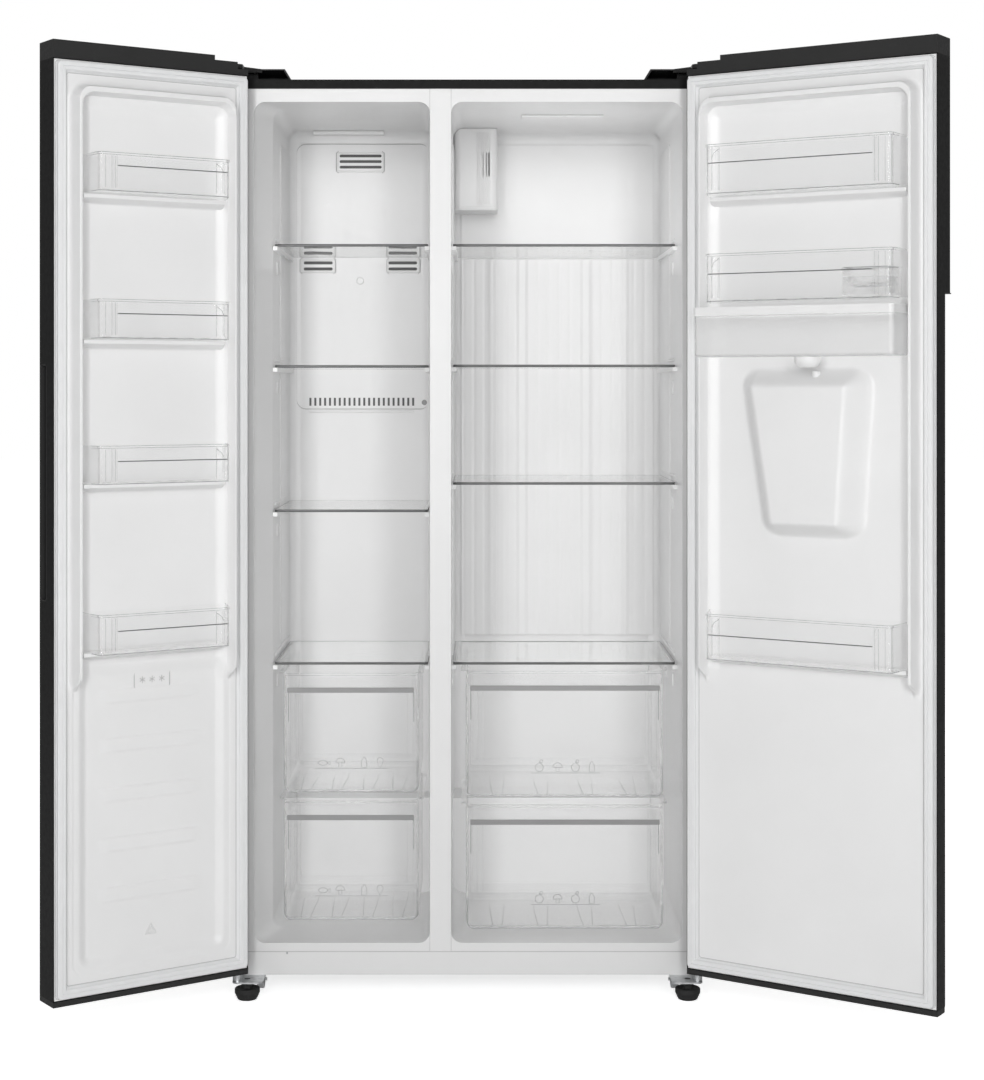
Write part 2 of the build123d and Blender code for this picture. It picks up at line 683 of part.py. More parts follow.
def make_freezer_door():
    width = freezer_door_width
    bins = [low for low, high in freezer_bin_z]
    lip = -door_thickness + freezer_grip_lip
    pocket_y = (lip, lip + freezer_grip_width)
    deep = width - freezer_grip_depth
    recess = bar((deep, width + 1), pocket_y, freezer_grip_z, 8, "X")
    open_pocket = bar((deep + grip_wall, width + 2), (lip + grip_wall, pocket_y[1] - grip_wall),
                      (freezer_grip_z[0] + grip_wall, freezer_grip_z[1] - grip_wall), 6, "X")
    cup = recess & block((0, width), (-door_thickness, 0), (0, door_high))
    form = door_form(width, bins, 0, False)
    keep_on_freezer_door("freezer_door_skin", door_skin(width) - recess)
    keep_on_freezer_door("freezer_door_trim", *door_caps(width), cup - open_pocket)
    whole = (-door_thickness, -liner_edge)
    grip_slabs = [(whole, (0, freezer_grip_z[0])), (whole, (freezer_grip_z[1], door_high)),
                  ((whole[0], pocket_y[0]), freezer_grip_z), ((pocket_y[1], whole[1]), freezer_grip_z)]
    keep_on_freezer_door("freezer_door_foam", *door_foam(width, bins, deep, grip_slabs, None))
    keep_on_freezer_door("freezer_door_liner", form - door_form(width, bins, liner_wall, False)
                         - block((-1, width + 1), (-20, -liner_edge + 0.01), (0, door_high)))
    keep_on_freezer_door("freezer_door_gasket", gasket(width))
    for number, span in enumerate(freezer_bin_z, 1):
        keep_on_freezer_door(f"freezer_bin_{number}", door_bin(width, span))


def make_fridge_door():
    width = fridge_door_width
    bins = [low for low, high in fridge_bin_z if low != fridge_bin_z[1][0]]
    rebate_y = (-door_thickness - 1, -door_thickness + fridge_grip_width)
    rebate_x = (width - fridge_grip_depth, width + 1)
    rebate = block(rebate_x, rebate_y, (0, fridge_grip_top))
    lining = block((rebate_x[0], width), (-door_thickness, rebate_y[1]),
                   (door_panel_low, fridge_grip_top))
    lining -= block((rebate_x[0] + grip_wall, width + 2), (rebate_y[0], rebate_y[1] - grip_wall),
                    (0, fridge_grip_top - grip_wall))
    outer_niche = bar((niche_x[0] - housing_wall, niche_x[1] + housing_wall),
                      (-door_thickness - 1, niche_back + housing_wall),
                      (niche_z[0] - housing_wall, niche_z[1] + housing_wall), 14, "Y")
    hole = fused([rebate, outer_niche])
    valve_hole = rod(9, (nozzle_x, 14, niche_z[1] - 20), 80, "Z")
    form = door_form(width, bins, 0, True)
    niche_hole = ((niche_x[0] - housing_wall, niche_x[1] + housing_wall),
                  (niche_z[0] - housing_wall, niche_z[1] + housing_wall))
    grip_slabs = [((rebate_y[1], -liner_edge), (0, fridge_grip_top)),
                  ((-door_thickness, -liner_edge), (fridge_grip_top, door_high))]
    foam = door_foam(width, bins, rebate_x[0], grip_slabs, niche_hole)
    foam += bulge_foam(niche_hole, valve_hole)
    inner_form = door_form(width, bins, liner_wall, True)
    keep_on_fridge_door("fridge_door_skin", door_skin(width) - hole)
    caps = [cap - rebate for cap in door_caps(width)]
    keep_on_fridge_door("fridge_door_trim", *caps, lining)
    keep_on_fridge_door("fridge_door_foam", *foam)
    keep_on_fridge_door("fridge_door_liner", form - inner_form - valve_hole
                        - block((-1, width + 1), (-20, -liner_edge + 0.01), (0, door_high)))
    keep_on_fridge_door("fridge_door_gasket", gasket(width))
    for number, span in enumerate(fridge_bin_z, 1):
        keep_on_fridge_door(f"fridge_bin_{number}", door_bin(width, span))
    make_dispenser(width)


def bin_outline(width, grow):
    """Plan of a door bin: its hinge end slants so that the bin can swing past the frame."""
    points = [(bin_hinge_near, bin_start), (width - bin_free_end, bin_start),
              (width - bin_free_end - 3, bin_reach), (bin_hinge_far, bin_reach)]
    face = make_face(Polyline(*points, close=True))
    face = fillet(face.vertices(), 9)
    return offset(face, grow) if grow else face


def door_bin(width, span, rim=1.6):
    """Clear bin with a beaded rim and a higher wall at the door."""
    low, high = span
    outer = extrude(Pos(0, 0, low) * bin_outline(width, 0), high - low)
    hollow = extrude(Pos(0, 0, low + bin_wall) * bin_outline(width, -bin_wall), high)
    bead = extrude(Pos(0, 0, high - 4) * bin_outline(width, rim), 4)
    past_border = block((0, width), (-20, bin_start), (0, door_high))
    beyond_end = block((width - bin_free_end, width), (-20, 200), (0, door_high))
    return fused([outer, bead]) - hollow - past_border - beyond_end


# ---------------------------------------------------------------- water dispenser
def make_dispenser(width):
    x = (bin_hinge_near + 4, width - bin_free_end)
    y = (bin_start, bin_reach - 1)
    outlet_low = bulge_z[1] - 6
    tank = tub(x, y, tank_z, 2.2, 9, 6)
    outlet = rod(16, (nozzle_x, 52, tank_z[0] - 12), 14, "Z")
    tank = fused([tank, outlet]) - rod(6, (nozzle_x, 52, outlet_low), 40, "Z")
    keep_on_fridge_door("water_tank", tank)
    lid = bar((x[0] - 1, x[1]), (bin_start, bin_reach), (tank_z[1] + 0.2, tank_lid_top), 8, "Z")
    skirt = bar((x[0] + 6, x[1] - 6), (y[0] + 6, y[1] - 6), (tank_z[1] - 4, tank_z[1] + 5), 6, "Z")
    hollow = bar((x[0] + 8, x[1] - 8), (y[0] + 8, y[1] - 8), (tank_z[1] - 6, tank_lid_top - 3), 5, "Z")
    keep_on_fridge_door("tank_lid", fused([lid, skirt]) - hollow)

    cup_x = (width - 152, width - 62)
    low = fridge_bin_z[1][0] + bin_wall
    funnel = bar(cup_x, (24, 70), (low + 4, low + 54), 6, "Z")
    funnel -= bar((cup_x[0] + 2, cup_x[1] - 2), (26, 68), (low + 7, low + 60), 4, "Z")
    base = rod(21, (sum(cup_x) / 2, 47, low), 5, "Z")
    keep_on_fridge_door("filler_cup", fused([funnel, base]))

    outer = bar((niche_x[0] - housing_wall, niche_x[1] + housing_wall),
                (-door_thickness, niche_back + housing_wall),
                (niche_z[0] - housing_wall, niche_z[1] + housing_wall), 14, "Y")
    pocket = bar(niche_x, (-door_thickness - 3, niche_back), niche_z, 12, "Y")
    bezel_x = (niche_x[0] - 9, niche_x[1] + 9)
    bezel_z = (niche_z[0] - 9, niche_z[1] + 9)
    bezel = bar(bezel_x, (-door_thickness - 2.5, -door_thickness), bezel_z, 18, "Y") - pocket
    stem_hole = rod(9, (nozzle_x, 14, niche_z[1] - 20), 80, "Z")
    tray = bar((niche_x[0] + 1, niche_x[1] - 1), (-door_thickness + 2, niche_back - 2),
               (niche_z[0] + 0.2, niche_z[0] + 14), 6, "Z")
    tray &= bar((niche_x[0] + 0.3, niche_x[1] - 0.3), (-door_thickness, niche_back),
                (niche_z[0] + 0.2, niche_z[1]), 12, "Y")
    for i in range(10):
        slot_x = niche_x[0] + 14 + i * 12
        tray -= bar((slot_x, slot_x + 5), (-door_thickness + 12, niche_back - 12),
                    (niche_z[0] + 4, niche_z[0] + 20), 2.4, "Z")
    keep_on_fridge_door("dispenser_housing", fused([outer - pocket, bezel]) - stem_hole, tray)

    stem = rod(8, (nozzle_x, 14, niche_z[1] - 26), bulge_z[1] - niche_z[1] + 21, "Z")
    flange = rod(14, (nozzle_x, 14, niche_z[1] - 6), 5.8, "Z")
    bore = rod(4, (nozzle_x, 14, niche_z[1] - 30), 90, "Z")
    keep_on_fridge_door("dispenser_valve", fused([stem, flange]) - bore)

    axle_z = niche_z[1] - 34
    blade = bar((nozzle_x - 26, nozzle_x + 26), (-10, -5), (niche_z[0] + 70, axle_z), 2.4, "X")
    axle = rod(5, (nozzle_x - 30, -7.5, axle_z), 60, "X")
    keep_on_fridge_door("dispenser_paddle", fused([blade, axle]))


# ---------------------------------------------------------------- hinges, feet and rollers
def top_hinge():
    low = hinge_pocket_floor + 1.5
    inner = -pivot_x + 34
    arm = block((-pivot_x - hinge_arm, -pivot_x + hinge_arm), (-pivot_out, 20), (low, low + hinge_plate))
    shoulder = block((-pivot_x - hinge_arm, inner), (-6, 20), (low, low + hinge_plate))
    nose = rod(hinge_arm, (-pivot_x, -pivot_out, low), hinge_plate, "Z")
    web = block((-pivot_x - hinge_arm, inner), (20 - hinge_plate, 20), (cabinet_top, low + 1))
    base = block((-pivot_x, -pivot_x + 70), (20 - hinge_plate, 112),
                 (cabinet_top, cabinet_top + hinge_plate))
    pin = rod(pin_radius, (-pivot_x, -pivot_out, door_panel_high + 4), low - door_panel_high - 3, "Z")
    return fused([arm, shoulder, nose, web, base, pin])


def hinge_cover():
    """Moulded cover: a hollow block behind the hinge arm and a roof over the arm."""
    low = hinge_pocket_floor + 1.5 + hinge_plate + 0.2
    high = hinge_cover_top
    left = -half_width + 5

    def profile(wall, y):
        foot_z = cabinet_top + 0.1 - wall
        points = [(left + wall, foot_z), (left + 104 - wall, foot_z),
                  (left + 90 - wall, high - wall), (left + wall, high - wall)]
        plane = Plane(origin=(0, y, 0), x_dir=(1, 0, 0), z_dir=(0, -1, 0))
        return plane * make_face(Polyline(*points, close=True))

    body = extrude(profile(0, 122), 101.8) - extrude(profile(2.4, 119), 100)
    nose_radius = hinge_arm + 1.5
    narrow = -pivot_x + nose_radius
    plan = [(left, -pivot_out), (narrow, -pivot_out), (narrow, -8), (left + 46, 20),
            (left + 46, 24), (left, 24)]
    roof = extrude(Pos(0, 0, low) * make_face(Polyline(*plan, close=True)), high - low)
    nose = rod(nose_radius, (-pivot_x, -pivot_out, low), high - low, "Z")
    return fused([body, roof, nose])


def lower_hinge():
    top = cabinet_bottom
    plate = block((-half_width + 1, -half_width + 60), (-52, 70), (top - hinge_plate, top))
    corners = plate.edges().filter_by(Axis.Z).group_by(Axis.Y)[0]
    plate = fillet(corners, 12)
    pin = rod(pin_radius, (-pivot_x, -pivot_out, top - 1), door_panel_low - top - 1, "Z")
    bush = rod(9, (-pivot_x, -pivot_out, top), door_low - top - 0.4, "Z")
    cheek = block((-half_width + 34, -half_width + 37), (26, 66), (14, top - 1))
    axle = rod(3, (-half_width + 36, 46, roller_radius + roller_lift), 22, "X")
    return fused([plate, pin, bush, cheek, axle]) - foot_bore()


def foot_bore():
    return rod(6 + 0.3, (-foot_x, foot_y, 20), 60, "Z")


def foot():
    cup = Pos(-foot_x, foot_y, foot_taper / 2) * Cone(foot_base_radius, foot_radius, foot_taper)
    rim = rod(foot_radius, (-foot_x, foot_y, foot_taper), foot_top - foot_taper, "Z")
    pad = fused([cup, rim])
    ends = pad.faces().filter_by(Axis.Z).sort_by(Axis.Z)
    pad = fillet(ends[0].edges() + ends[-1].edges(), 3)
    stem = rod(6, (-foot_x, foot_y, foot_top - 1), cabinet_bottom - foot_top, "Z")
    nut = extrude(Pos(-foot_x, foot_y, foot_top - 1) * RegularPolygon(11, 6), 7)
    return fused([pad, stem, nut])


def roller(x, y, lift):
    centre = roller_radius + lift
    wheel = rod(roller_radius, (x, y, centre), 14, "X")
    wheel = fillet(wheel.edges(), 2)
    return wheel - rod(3 + running_gap, (x - 1, y, centre), 20, "X")


def make_hardware():
    keep("top_hinges", *both_sides(top_hinge))
    keep("hinge_covers", *both_sides(hinge_cover))
    keep("lower_hinges", *both_sides(lower_hinge))
    keep("levelling_feet", *both_sides(foot))
    front_x = -half_width + 39.5
    keep("front_rollers", *both_sides(lambda: roller(front_x, 46, roller_lift)))
    rear_x = -half_width + 60
    keep("rear_rollers", *both_sides(lambda: roller(rear_x, rear_roller_y, 0)))

    def rear_bracket():
        top = cabinet_bottom
        cheek = block((rear_x - 6, rear_x - 2), (rear_roller_y - 20, rear_roller_y + 20), (10, top))
        axle = rod(3, (rear_x - 3, rear_roller_y, roller_radius), 20, "X")
        return fused([cheek, axle])

    keep("rear_roller_brackets", *both_sides(rear_bracket))

    def head(x, y, z, along):
        return rod(4.2, (x, y, z), 2.4, along)

    heads = []
    for x in (-400, -150, 150, 400):
        heads.append(head(x, cabinet_depth, machine_top - 10, "Y"))
        heads.append(head(x, cabinet_depth, 60, "Y"))
    for x in (-405, -385, 385, 405):
        for y in (50, 92):
            heads.append(head(x, y, cabinet_top + hinge_plate, "Z"))
    keep("screws", *heads)


# ---------------------------------------------------------------- assembly
def origin_shift():
    """Move that puts the origin on the floor under the middle of the object's box."""
    box = Compound([solid for solids in parts.values() for solid in solids]).bounding_box()
    return Pos(-(box.min.X + box.max.X) / 2, -(box.min.Y + box.max.Y) / 2, -box.min.Z)


make_cabinet()
make_ducts()
make_cooling()
make_machine_cover()
make_shelves()
make_drawers()
make_freezer_door()
make_fridge_door()
make_hardware()
shift = origin_shift()

os.makedirs("parts", exist_ok=True)
for name, solids in parts.items():
    export_step(shift * Compound(solids), f"parts/{name}.step")
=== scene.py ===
import json
import math
import bmesh
import bpy
import numpy as np
from mathutils import Matrix, Vector


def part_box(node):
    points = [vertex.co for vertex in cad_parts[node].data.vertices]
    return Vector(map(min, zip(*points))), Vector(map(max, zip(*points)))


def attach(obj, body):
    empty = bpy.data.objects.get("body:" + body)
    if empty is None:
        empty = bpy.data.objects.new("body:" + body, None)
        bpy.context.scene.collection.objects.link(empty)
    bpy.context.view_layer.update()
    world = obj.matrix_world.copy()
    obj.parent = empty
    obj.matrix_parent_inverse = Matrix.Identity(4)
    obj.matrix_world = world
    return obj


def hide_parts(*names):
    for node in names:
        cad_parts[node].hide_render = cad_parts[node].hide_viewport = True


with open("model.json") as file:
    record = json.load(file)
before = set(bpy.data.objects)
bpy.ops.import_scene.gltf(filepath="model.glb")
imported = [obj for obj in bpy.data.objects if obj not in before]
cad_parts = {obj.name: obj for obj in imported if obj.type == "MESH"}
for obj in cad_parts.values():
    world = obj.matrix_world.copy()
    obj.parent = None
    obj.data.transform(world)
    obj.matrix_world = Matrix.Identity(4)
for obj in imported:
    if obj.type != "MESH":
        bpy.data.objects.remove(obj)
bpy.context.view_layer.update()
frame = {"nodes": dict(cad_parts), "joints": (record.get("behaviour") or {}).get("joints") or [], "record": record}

# Looks of a side by side refrigerator that stands with both doors open. Sizes below are in
# millimetres, and MM turns them into metres. Cabinet pieces are placed from the cabinet's centre
# line, the face of its front frame and the floor. Door pieces are placed in door coordinates:
# x from the hinge edge, y outwards from the door's inner face, z from the floor.
MM = 0.001
nodes = frame["nodes"]
joints = {joint["name"]: joint for joint in frame["joints"]}
shell_low, shell_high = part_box("outer_shell")
frame_low, frame_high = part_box("front_frame")
CENTRE_X = (shell_low.x + shell_high.x) / 2
FRONT_Y = frame_low.y
HALF_WIDTH = (shell_high.x - shell_low.x) / 2 / MM

# doors, as the frame has them
PIVOT_IN = 10
DOOR_GAP = 12
DOOR_LOW, DOOR_HIGH = 64.5, 1757
GASKET_GAP = 0.8
WIDTH = {"freezer": 393.5, "fridge": 497.5}
BIN_FLOORS = {"freezer": (1515, 1253, 993, 690.5), "fridge": (1521, 1323, 666)}
BIN_TOPS = {"freezer": (1584, 1323, 1062, 762), "fridge": (1612, 1411, 750)}


def at(x, y, z):
    """Point given in millimetres from the cabinet's middle, front and floor."""
    return Vector((CENTRE_X + x * MM, FRONT_Y + y * MM, z * MM))


def door_matrix(side):
    """Takes door coordinates, in millimetres, to the open door in the row frame."""
    joint = joints[f"{side}_door_hinge"]
    pivot = Vector(joint["pos_m"])
    angle = math.radians(-joint["range_deg"][0])
    hand = 1 if side == "freezer" else -1
    along = Vector((hand * math.cos(angle), -math.sin(angle), 0))
    inward = Vector((hand * math.sin(angle), math.cos(angle), 0))
    ahead = (FRONT_Y - pivot.y) / MM - DOOR_GAP
    origin = pivot - along * PIVOT_IN * MM + inward * ahead * MM
    origin.z = 0
    columns = (along * MM, inward * MM, Vector((0, 0, MM)), origin)
    return Matrix([[c[row] for c in columns] for row in range(3)] + [[0, 0, 0, 1]])


DOOR = {side: door_matrix(side) for side in WIDTH}
CABINET = Matrix.Translation((CENTRE_X, FRONT_Y, 0)) @ Matrix.Scale(MM, 4)
# the same with y and z changed over, for what lies flat
FLAT = CABINET @ Matrix(((1, 0, 0, 0), (0, 0, 1, 0), (0, 1, 0, 0), (0, 0, 0, 1)))


# ---------------------------------------------------------------- materials
class Look:
    """Builds one node material around a Principled shader."""

    def __init__(self, name, roughness, metallic=0.0, ior=1.5):
        self.material = bpy.data.materials.new(name)
        self.material.use_nodes = True
        self.tree = self.material.node_tree
        self.shader = self.tree.nodes["Principled BSDF"]
        self.shader.inputs["Roughness"].default_value = roughness
        self.shader.inputs["Metallic"].default_value = metallic
        self.shader.inputs["IOR"].default_value = ior
        self.place = self.add("ShaderNodeTexCoord").outputs["Object"]

    def add(self, kind, **values):
        node = self.tree.nodes.new(kind)
        for key, value in values.items():
            setattr(node, key, value)
        return node

    def link(self, output, target):
        self.tree.links.new(output, target)

    def noise(self, scale, detail=3.0, stretch=None):
        """A noise value from 0 to 1; scale is in turns per metre."""
        node = self.add("ShaderNodeTexNoise")
        node.inputs["Scale"].default_value = scale
        node.inputs["Detail"].default_value = detail
        source = self.place
        if stretch:
            mapping = self.add("ShaderNodeMapping")
            mapping.inputs["Scale"].default_value = stretch
            self.link(source, mapping.inputs["Vector"])
            source = mapping.outputs["Vector"]
        self.link(source, node.inputs["Vector"])
        return node.outputs["Fac"]

    def spread(self, value, low, high, source=(0.3, 0.7)):
        """Maps a 0 to 1 value onto a range."""
        node = self.add("ShaderNodeMapRange")
        for key, number in zip(("From Min", "From Max", "To Min", "To Max"), (*source, low, high)):
            node.inputs[key].default_value = number
        self.link(value, node.inputs["Value"])
        return node.outputs["Result"]

    def blend(self, value, first, second):
        """Colour between two colours, either of which may be another output."""
        node = self.add("ShaderNodeMix", data_type="RGBA")
        self.link(value, node.inputs[0])
        for socket, colour in ((node.inputs[6], first), (node.inputs[7], second)):
            if isinstance(colour, tuple):
                socket.default_value = (*colour, 1)
            else:
                self.link(colour, socket)
        return node.outputs[2]

    def mixed(self, share, first, second):
        """Shader that is a fixed share of the second."""
        node = self.add("ShaderNodeMixShader")
        node.inputs["Fac"].default_value = share
        self.link(first, node.inputs[1])
        self.link(second, node.inputs[2])
        return node.outputs["Shader"]

    def edges(self, low=0.52, high=0.6):
        """How strongly a point lies on a convex edge."""
        return self.spread(self.add("ShaderNodeNewGeometry").outputs["Pointiness"], 0, 1, (low, high))

    def colour(self, output):
        self.link(output, self.shader.inputs["Base Color"])

    def roughness(self, value, low, high):
        self.link(self.spread(value, low, high), self.shader.inputs["Roughness"])

    def bump(self, value, depth, strength=1.0):
        """Surface relief; depth is in metres."""
        node = self.add("ShaderNodeBump")
        node.inputs["Strength"].default_value = strength
        node.inputs["Distance"].default_value = depth
        self.link(value, node.inputs["Height"])
        self.link(node.outputs["Normal"], self.shader.inputs["Normal"])


def white_plastic():
    """Vacuum formed polystyrene: glossy white with a faint orange peel."""
    look = Look("white_plastic", 0.3)
    cloud = look.noise(5)
    look.colour(look.blend(look.spread(cloud, 0, 1), (0.80, 0.80, 0.80), (0.83, 0.83, 0.83)))
    look.roughness(look.noise(60), 0.28, 0.36)
    look.bump(look.noise(90, 1), 0.000015)
    return look.material


def white_steel():
    """Stove enamelled front frame."""
    look = Look("white_steel", 0.3)
    look.colour(look.blend(look.noise(5, 1), (0.74, 0.74, 0.74), (0.76, 0.76, 0.76)))
    look.roughness(look.noise(20, 1), 0.28, 0.32)
    look.bump(look.noise(120, 1), 0.000003)
    return look.material


def black_steel():
    """Powder coated sheet, satin."""
    look = Look("black_steel", 0.38)
    look.shader.inputs["Specular IOR Level"].default_value = 0.055
    look.colour(look.blend(look.noise(7), (0.008, 0.008, 0.008), (0.011, 0.011, 0.011)))
    look.roughness(look.noise(140, 4), 0.30, 0.44)
    look.bump(look.noise(1500, 2), 0.00001)
    return look.material


def black_plastic():
    """Moulded caps and covers with a fine spark-eroded grain."""
    look = Look("black_plastic", 0.5)
    look.shader.inputs["Specular IOR Level"].default_value = 0.12
    look.colour(look.blend(look.noise(12), (0.028, 0.028, 0.028), (0.036, 0.036, 0.036)))
    look.roughness(look.noise(200, 4), 0.40, 0.58)
    look.bump(look.noise(2200, 2), 0.00002)
    return look.material


def zinc_steel():
    """Galvanised sheet with a soft crystal pattern."""
    look = Look("zinc_steel", 0.4, metallic=1.0)
    cells = look.add("ShaderNodeTexVoronoi")
    cells.inputs["Scale"].default_value = 110
    look.link(look.place, cells.inputs["Vector"])
    tone = look.spread(cells.outputs["Distance"], 0, 1, (0, 0.7))
    look.colour(look.blend(tone, (0.46, 0.47, 0.48), (0.62, 0.63, 0.64)))
    look.roughness(look.noise(60, 4), 0.30, 0.50)
    look.bump(look.noise(400, 3), 0.00003)
    return look.material


def grey_plastic():
    look = Look("grey_plastic", 0.5)
    look.colour(look.blend(look.noise(14), (0.40, 0.41, 0.42), (0.46, 0.47, 0.48)))
    look.roughness(look.noise(180), 0.42, 0.56)
    look.bump(look.noise(1600, 2), 0.00004)
    return look.material


def seal():
    """Soft white extrusion with fine lines along it."""
    look = Look("seal", 0.5)
    look.colour(look.blend(look.noise(24), (0.76, 0.765, 0.77), (0.81, 0.815, 0.82)))
    look.roughness(look.noise(70), 0.44, 0.58)
    look.bump(look.noise(900, 2), 0.00005)
    return look.material


def shade_grey():
    """Dim inside of a duct, seen through its slots."""
    look = Look("shade_grey", 0.7)
    look.colour(look.blend(look.noise(30), (0.10, 0.10, 0.10), (0.14, 0.14, 0.14)))
    look.roughness(look.noise(80), 0.62, 0.78)
    look.bump(look.noise(600, 2), 0.00002)
    return look.material


def seam_shade():
    """Shaded line where two white pieces meet."""
    look = Look("seam_shade", 0.6)
    look.colour(look.blend(look.noise(40), (0.46, 0.46, 0.46), (0.54, 0.54, 0.54)))
    look.bump(look.noise(600, 2), 0.00002)
    return look.material


def foam():
    look = Look("foam", 0.9)
    look.colour(look.blend(look.noise(60), (0.76, 0.66, 0.36), (0.84, 0.75, 0.46)))
    look.bump(look.noise(500, 4), 0.0004)
    return look.material


def coil():
    """Thin aluminium fins."""
    look = Look("coil", 0.35, metallic=1.0)
    look.colour(look.blend(look.noise(80), (0.62, 0.63, 0.64), (0.74, 0.75, 0.76)))
    look.roughness(look.noise(240), 0.28, 0.45)
    look.bump(look.noise(1200, 2), 0.00005)
    return look.material


def compressor_paint():
    look = Look("compressor_paint", 0.35)
    # Painted highlight: convex edges are coloured lighter than the flat faces.
    look.colour(look.blend(look.edges(), (0.014, 0.014, 0.014), (0.05, 0.05, 0.05)))
    look.roughness(look.noise(90, 4), 0.25, 0.5)
    look.bump(look.noise(500, 3), 0.00008)
    return look.material


def tyre_grey():
    look = Look("tyre_grey", 0.45)
    look.colour(look.blend(look.noise(60, 4), (0.52, 0.53, 0.54), (0.62, 0.63, 0.64)))
    look.roughness(look.noise(300, 4), 0.35, 0.6)
    look.bump(look.noise(900, 3), 0.00006)
    return look.material


def clear(name, tint, roughness, ior, haze=None, thin=0.0):
    """See-through material; haze is a (share, colour) of milkiness, thin a share that passes straight."""
    look = Look(name, roughness, ior=ior)
    cloud = look.spread(look.noise(12), 0, 1)
    darker = tuple(channel * 0.99 for channel in tint)
    look.colour(look.blend(cloud, darker, tint))
    look.shader.inputs["Transmission Weight"].default_value = 1.0
    look.roughness(look.noise(40), roughness, roughness + 0.03)
    look.bump(look.noise(35, 1), 0.00006)
    surface = look.shader.outputs["BSDF"]
    if haze:
        share, colour = haze
        milk = look.add("ShaderNodeBsdfPrincipled")
        milk.inputs["Base Color"].default_value = (*colour, 1)
        milk.inputs["Roughness"].default_value = 0.35
        surface = look.mixed(share, surface, milk.outputs["BSDF"])
    if thin:
        passing = look.add("ShaderNodeBsdfTransparent")
        surface = look.mixed(thin, surface, passing.outputs["BSDF"])
    look.link(surface, look.tree.nodes["Material Output"].inputs["Surface"])
    return look.material


LOOKS = {
    "black_steel": black_steel(),
    "white_steel": white_steel(),
    "zinc_steel": zinc_steel(),
    "white_plastic": white_plastic(),
    "grey_plastic": grey_plastic(),
    "black_plastic": black_plastic(),
    "clear_plastic": clear("clear_plastic", (0.975, 0.976, 0.976), 0.01, 1.26, thin=0.4),
    "tank_plastic": clear("tank_plastic", (0.93, 0.93, 0.93), 0.18, 1.3,
                          (0.48, (0.76, 0.76, 0.76)), thin=0.15),
    "shelf_glass": clear("shelf_glass", (0.97, 0.98, 0.975), 0.0, 1.45),
    # Painted shade: the dark grey of glass edges stands in for light bent through the glass.
    "glass_edge_shade": clear("glass_edge_shade", (0.30, 0.31, 0.31), 0.08, 1.45, (0.8, (0.10, 0.102, 0.102))),
    "plastic_shade": clear("plastic_shade", (0.6, 0.6, 0.6), 0.12, 1.36, (0.75, (0.27, 0.27, 0.27))),
    "seam_shade": seam_shade(),
    "shade_grey": shade_grey(),
    # Painted shade: grey lines where clear plastic edges and mouldings look dark from light bent through them.
    "plastic_edge_shade": clear("plastic_edge_shade", (0.80, 0.81, 0.81), 0.08, 1.42, (0.4, (0.33, 0.335, 0.335))),
    "foam": foam(),
    "seal": seal(),
    "coil": coil(),
    "compressor_paint": compressor_paint(),
    "tyre_grey": tyre_grey(),
}


CLEAR_LOOKS = [LOOKS[name] for name in ("clear_plastic", "tank_plastic", "shelf_glass", "glass_edge_shade",
                                        "plastic_shade", "plastic_edge_shade")]


# ---------------------------------------------------------------- mesh helpers
def lets_light_through(obj):
    """Clear pieces don't shade what is behind them."""
    if obj.data.materials[0] in CLEAR_LOOKS:
        obj.visible_shadow = False
        obj.visible_diffuse = False


def piece(name, mesh_data, place, body, slot, look=None, smooth_angle=35):
    """A named mesh that rides on a body; points are in millimetres, in the place's coordinates."""
    points, faces = mesh_data
    mesh = bpy.data.meshes.new(name)
    mesh.from_pydata([place @ Vector(p) for p in points], [], faces)
    work = bmesh.new()
    work.from_mesh(mesh)
    bmesh.ops.recalc_face_normals(work, faces=work.faces)
    work.to_mesh(mesh)
    work.free()
    mesh.materials.append(LOOKS[look or slot])
    mesh.polygons.foreach_set("use_smooth", [True] * len(mesh.polygons))
    mesh.set_sharp_from_angle(angle=math.radians(smooth_angle))
    obj = bpy.data.objects.new(name, mesh)
    bpy.context.scene.collection.objects.link(obj)
    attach(obj, body)
    lets_light_through(obj)
    return obj


def rounded(x, z, radius, steps=6):
    """Loop of points round a rectangle with rounded corners, anticlockwise from the right."""
    loop = []
    for number, (cx, cz) in enumerate(((x[1], z[1]), (x[0], z[1]), (x[0], z[0]), (x[1], z[0]))):
        inner_x = cx - math.copysign(radius, cx - sum(x) / 2)
        inner_z = cz - math.copysign(radius, cz - sum(z) / 2)
        for step in range(steps + 1):
            turn = math.pi / 2 * (number + step / steps)
            loop.append((inner_x + radius * math.cos(turn), inner_z + radius * math.sin(turn)))
    return loop


def lofted(loops, closed=False):
    """Points and faces through equal loops; the ends are capped unless closed on themselves."""
    count = len(loops[0])
    points = [p for loop in loops for p in loop]
    rows = len(loops)
    faces = []
    for row in range(rows if closed else rows - 1):
        first, second = row * count, (row + 1) % rows * count
        for i in range(count):
            j = (i + 1) % count
            faces.append((first + i, first + j, second + j, second + i))
    if not closed:
        faces.append(tuple(range(count)))
        faces.append(tuple(range((rows - 1) * count, rows * count)))
    return points, faces


def joined(*meshes):
    """Several (points, faces) pairs as one."""
    points, faces = [], []
    for some_points, some_faces in meshes:
        start = len(points)
        points += some_points
        faces += [tuple(start + i for i in face) for face in some_faces]
    return points, faces


def plate(x, y, z, radius=1.0, edge=0.4, steps=3):
    """Rounded plate in the x z plane, y[0] at its back and y[1] at its face, with soft edges."""
    loops = [[(px, y[0], pz) for px, pz in rounded(x, z, radius, steps)]]
    lean = math.copysign(edge, y[1] - y[0])
    loops.append([(px, y[1] - lean, pz) for px, pz in rounded(x, z, radius, steps)])
    inner_x, inner_z = (x[0] + edge, x[1] - edge), (z[0] + edge, z[1] - edge)
    inner = rounded(inner_x, inner_z, max(radius - edge, 0.2), steps)
    loops.append([(px, y[1], pz) for px, pz in inner])
    return lofted(loops)


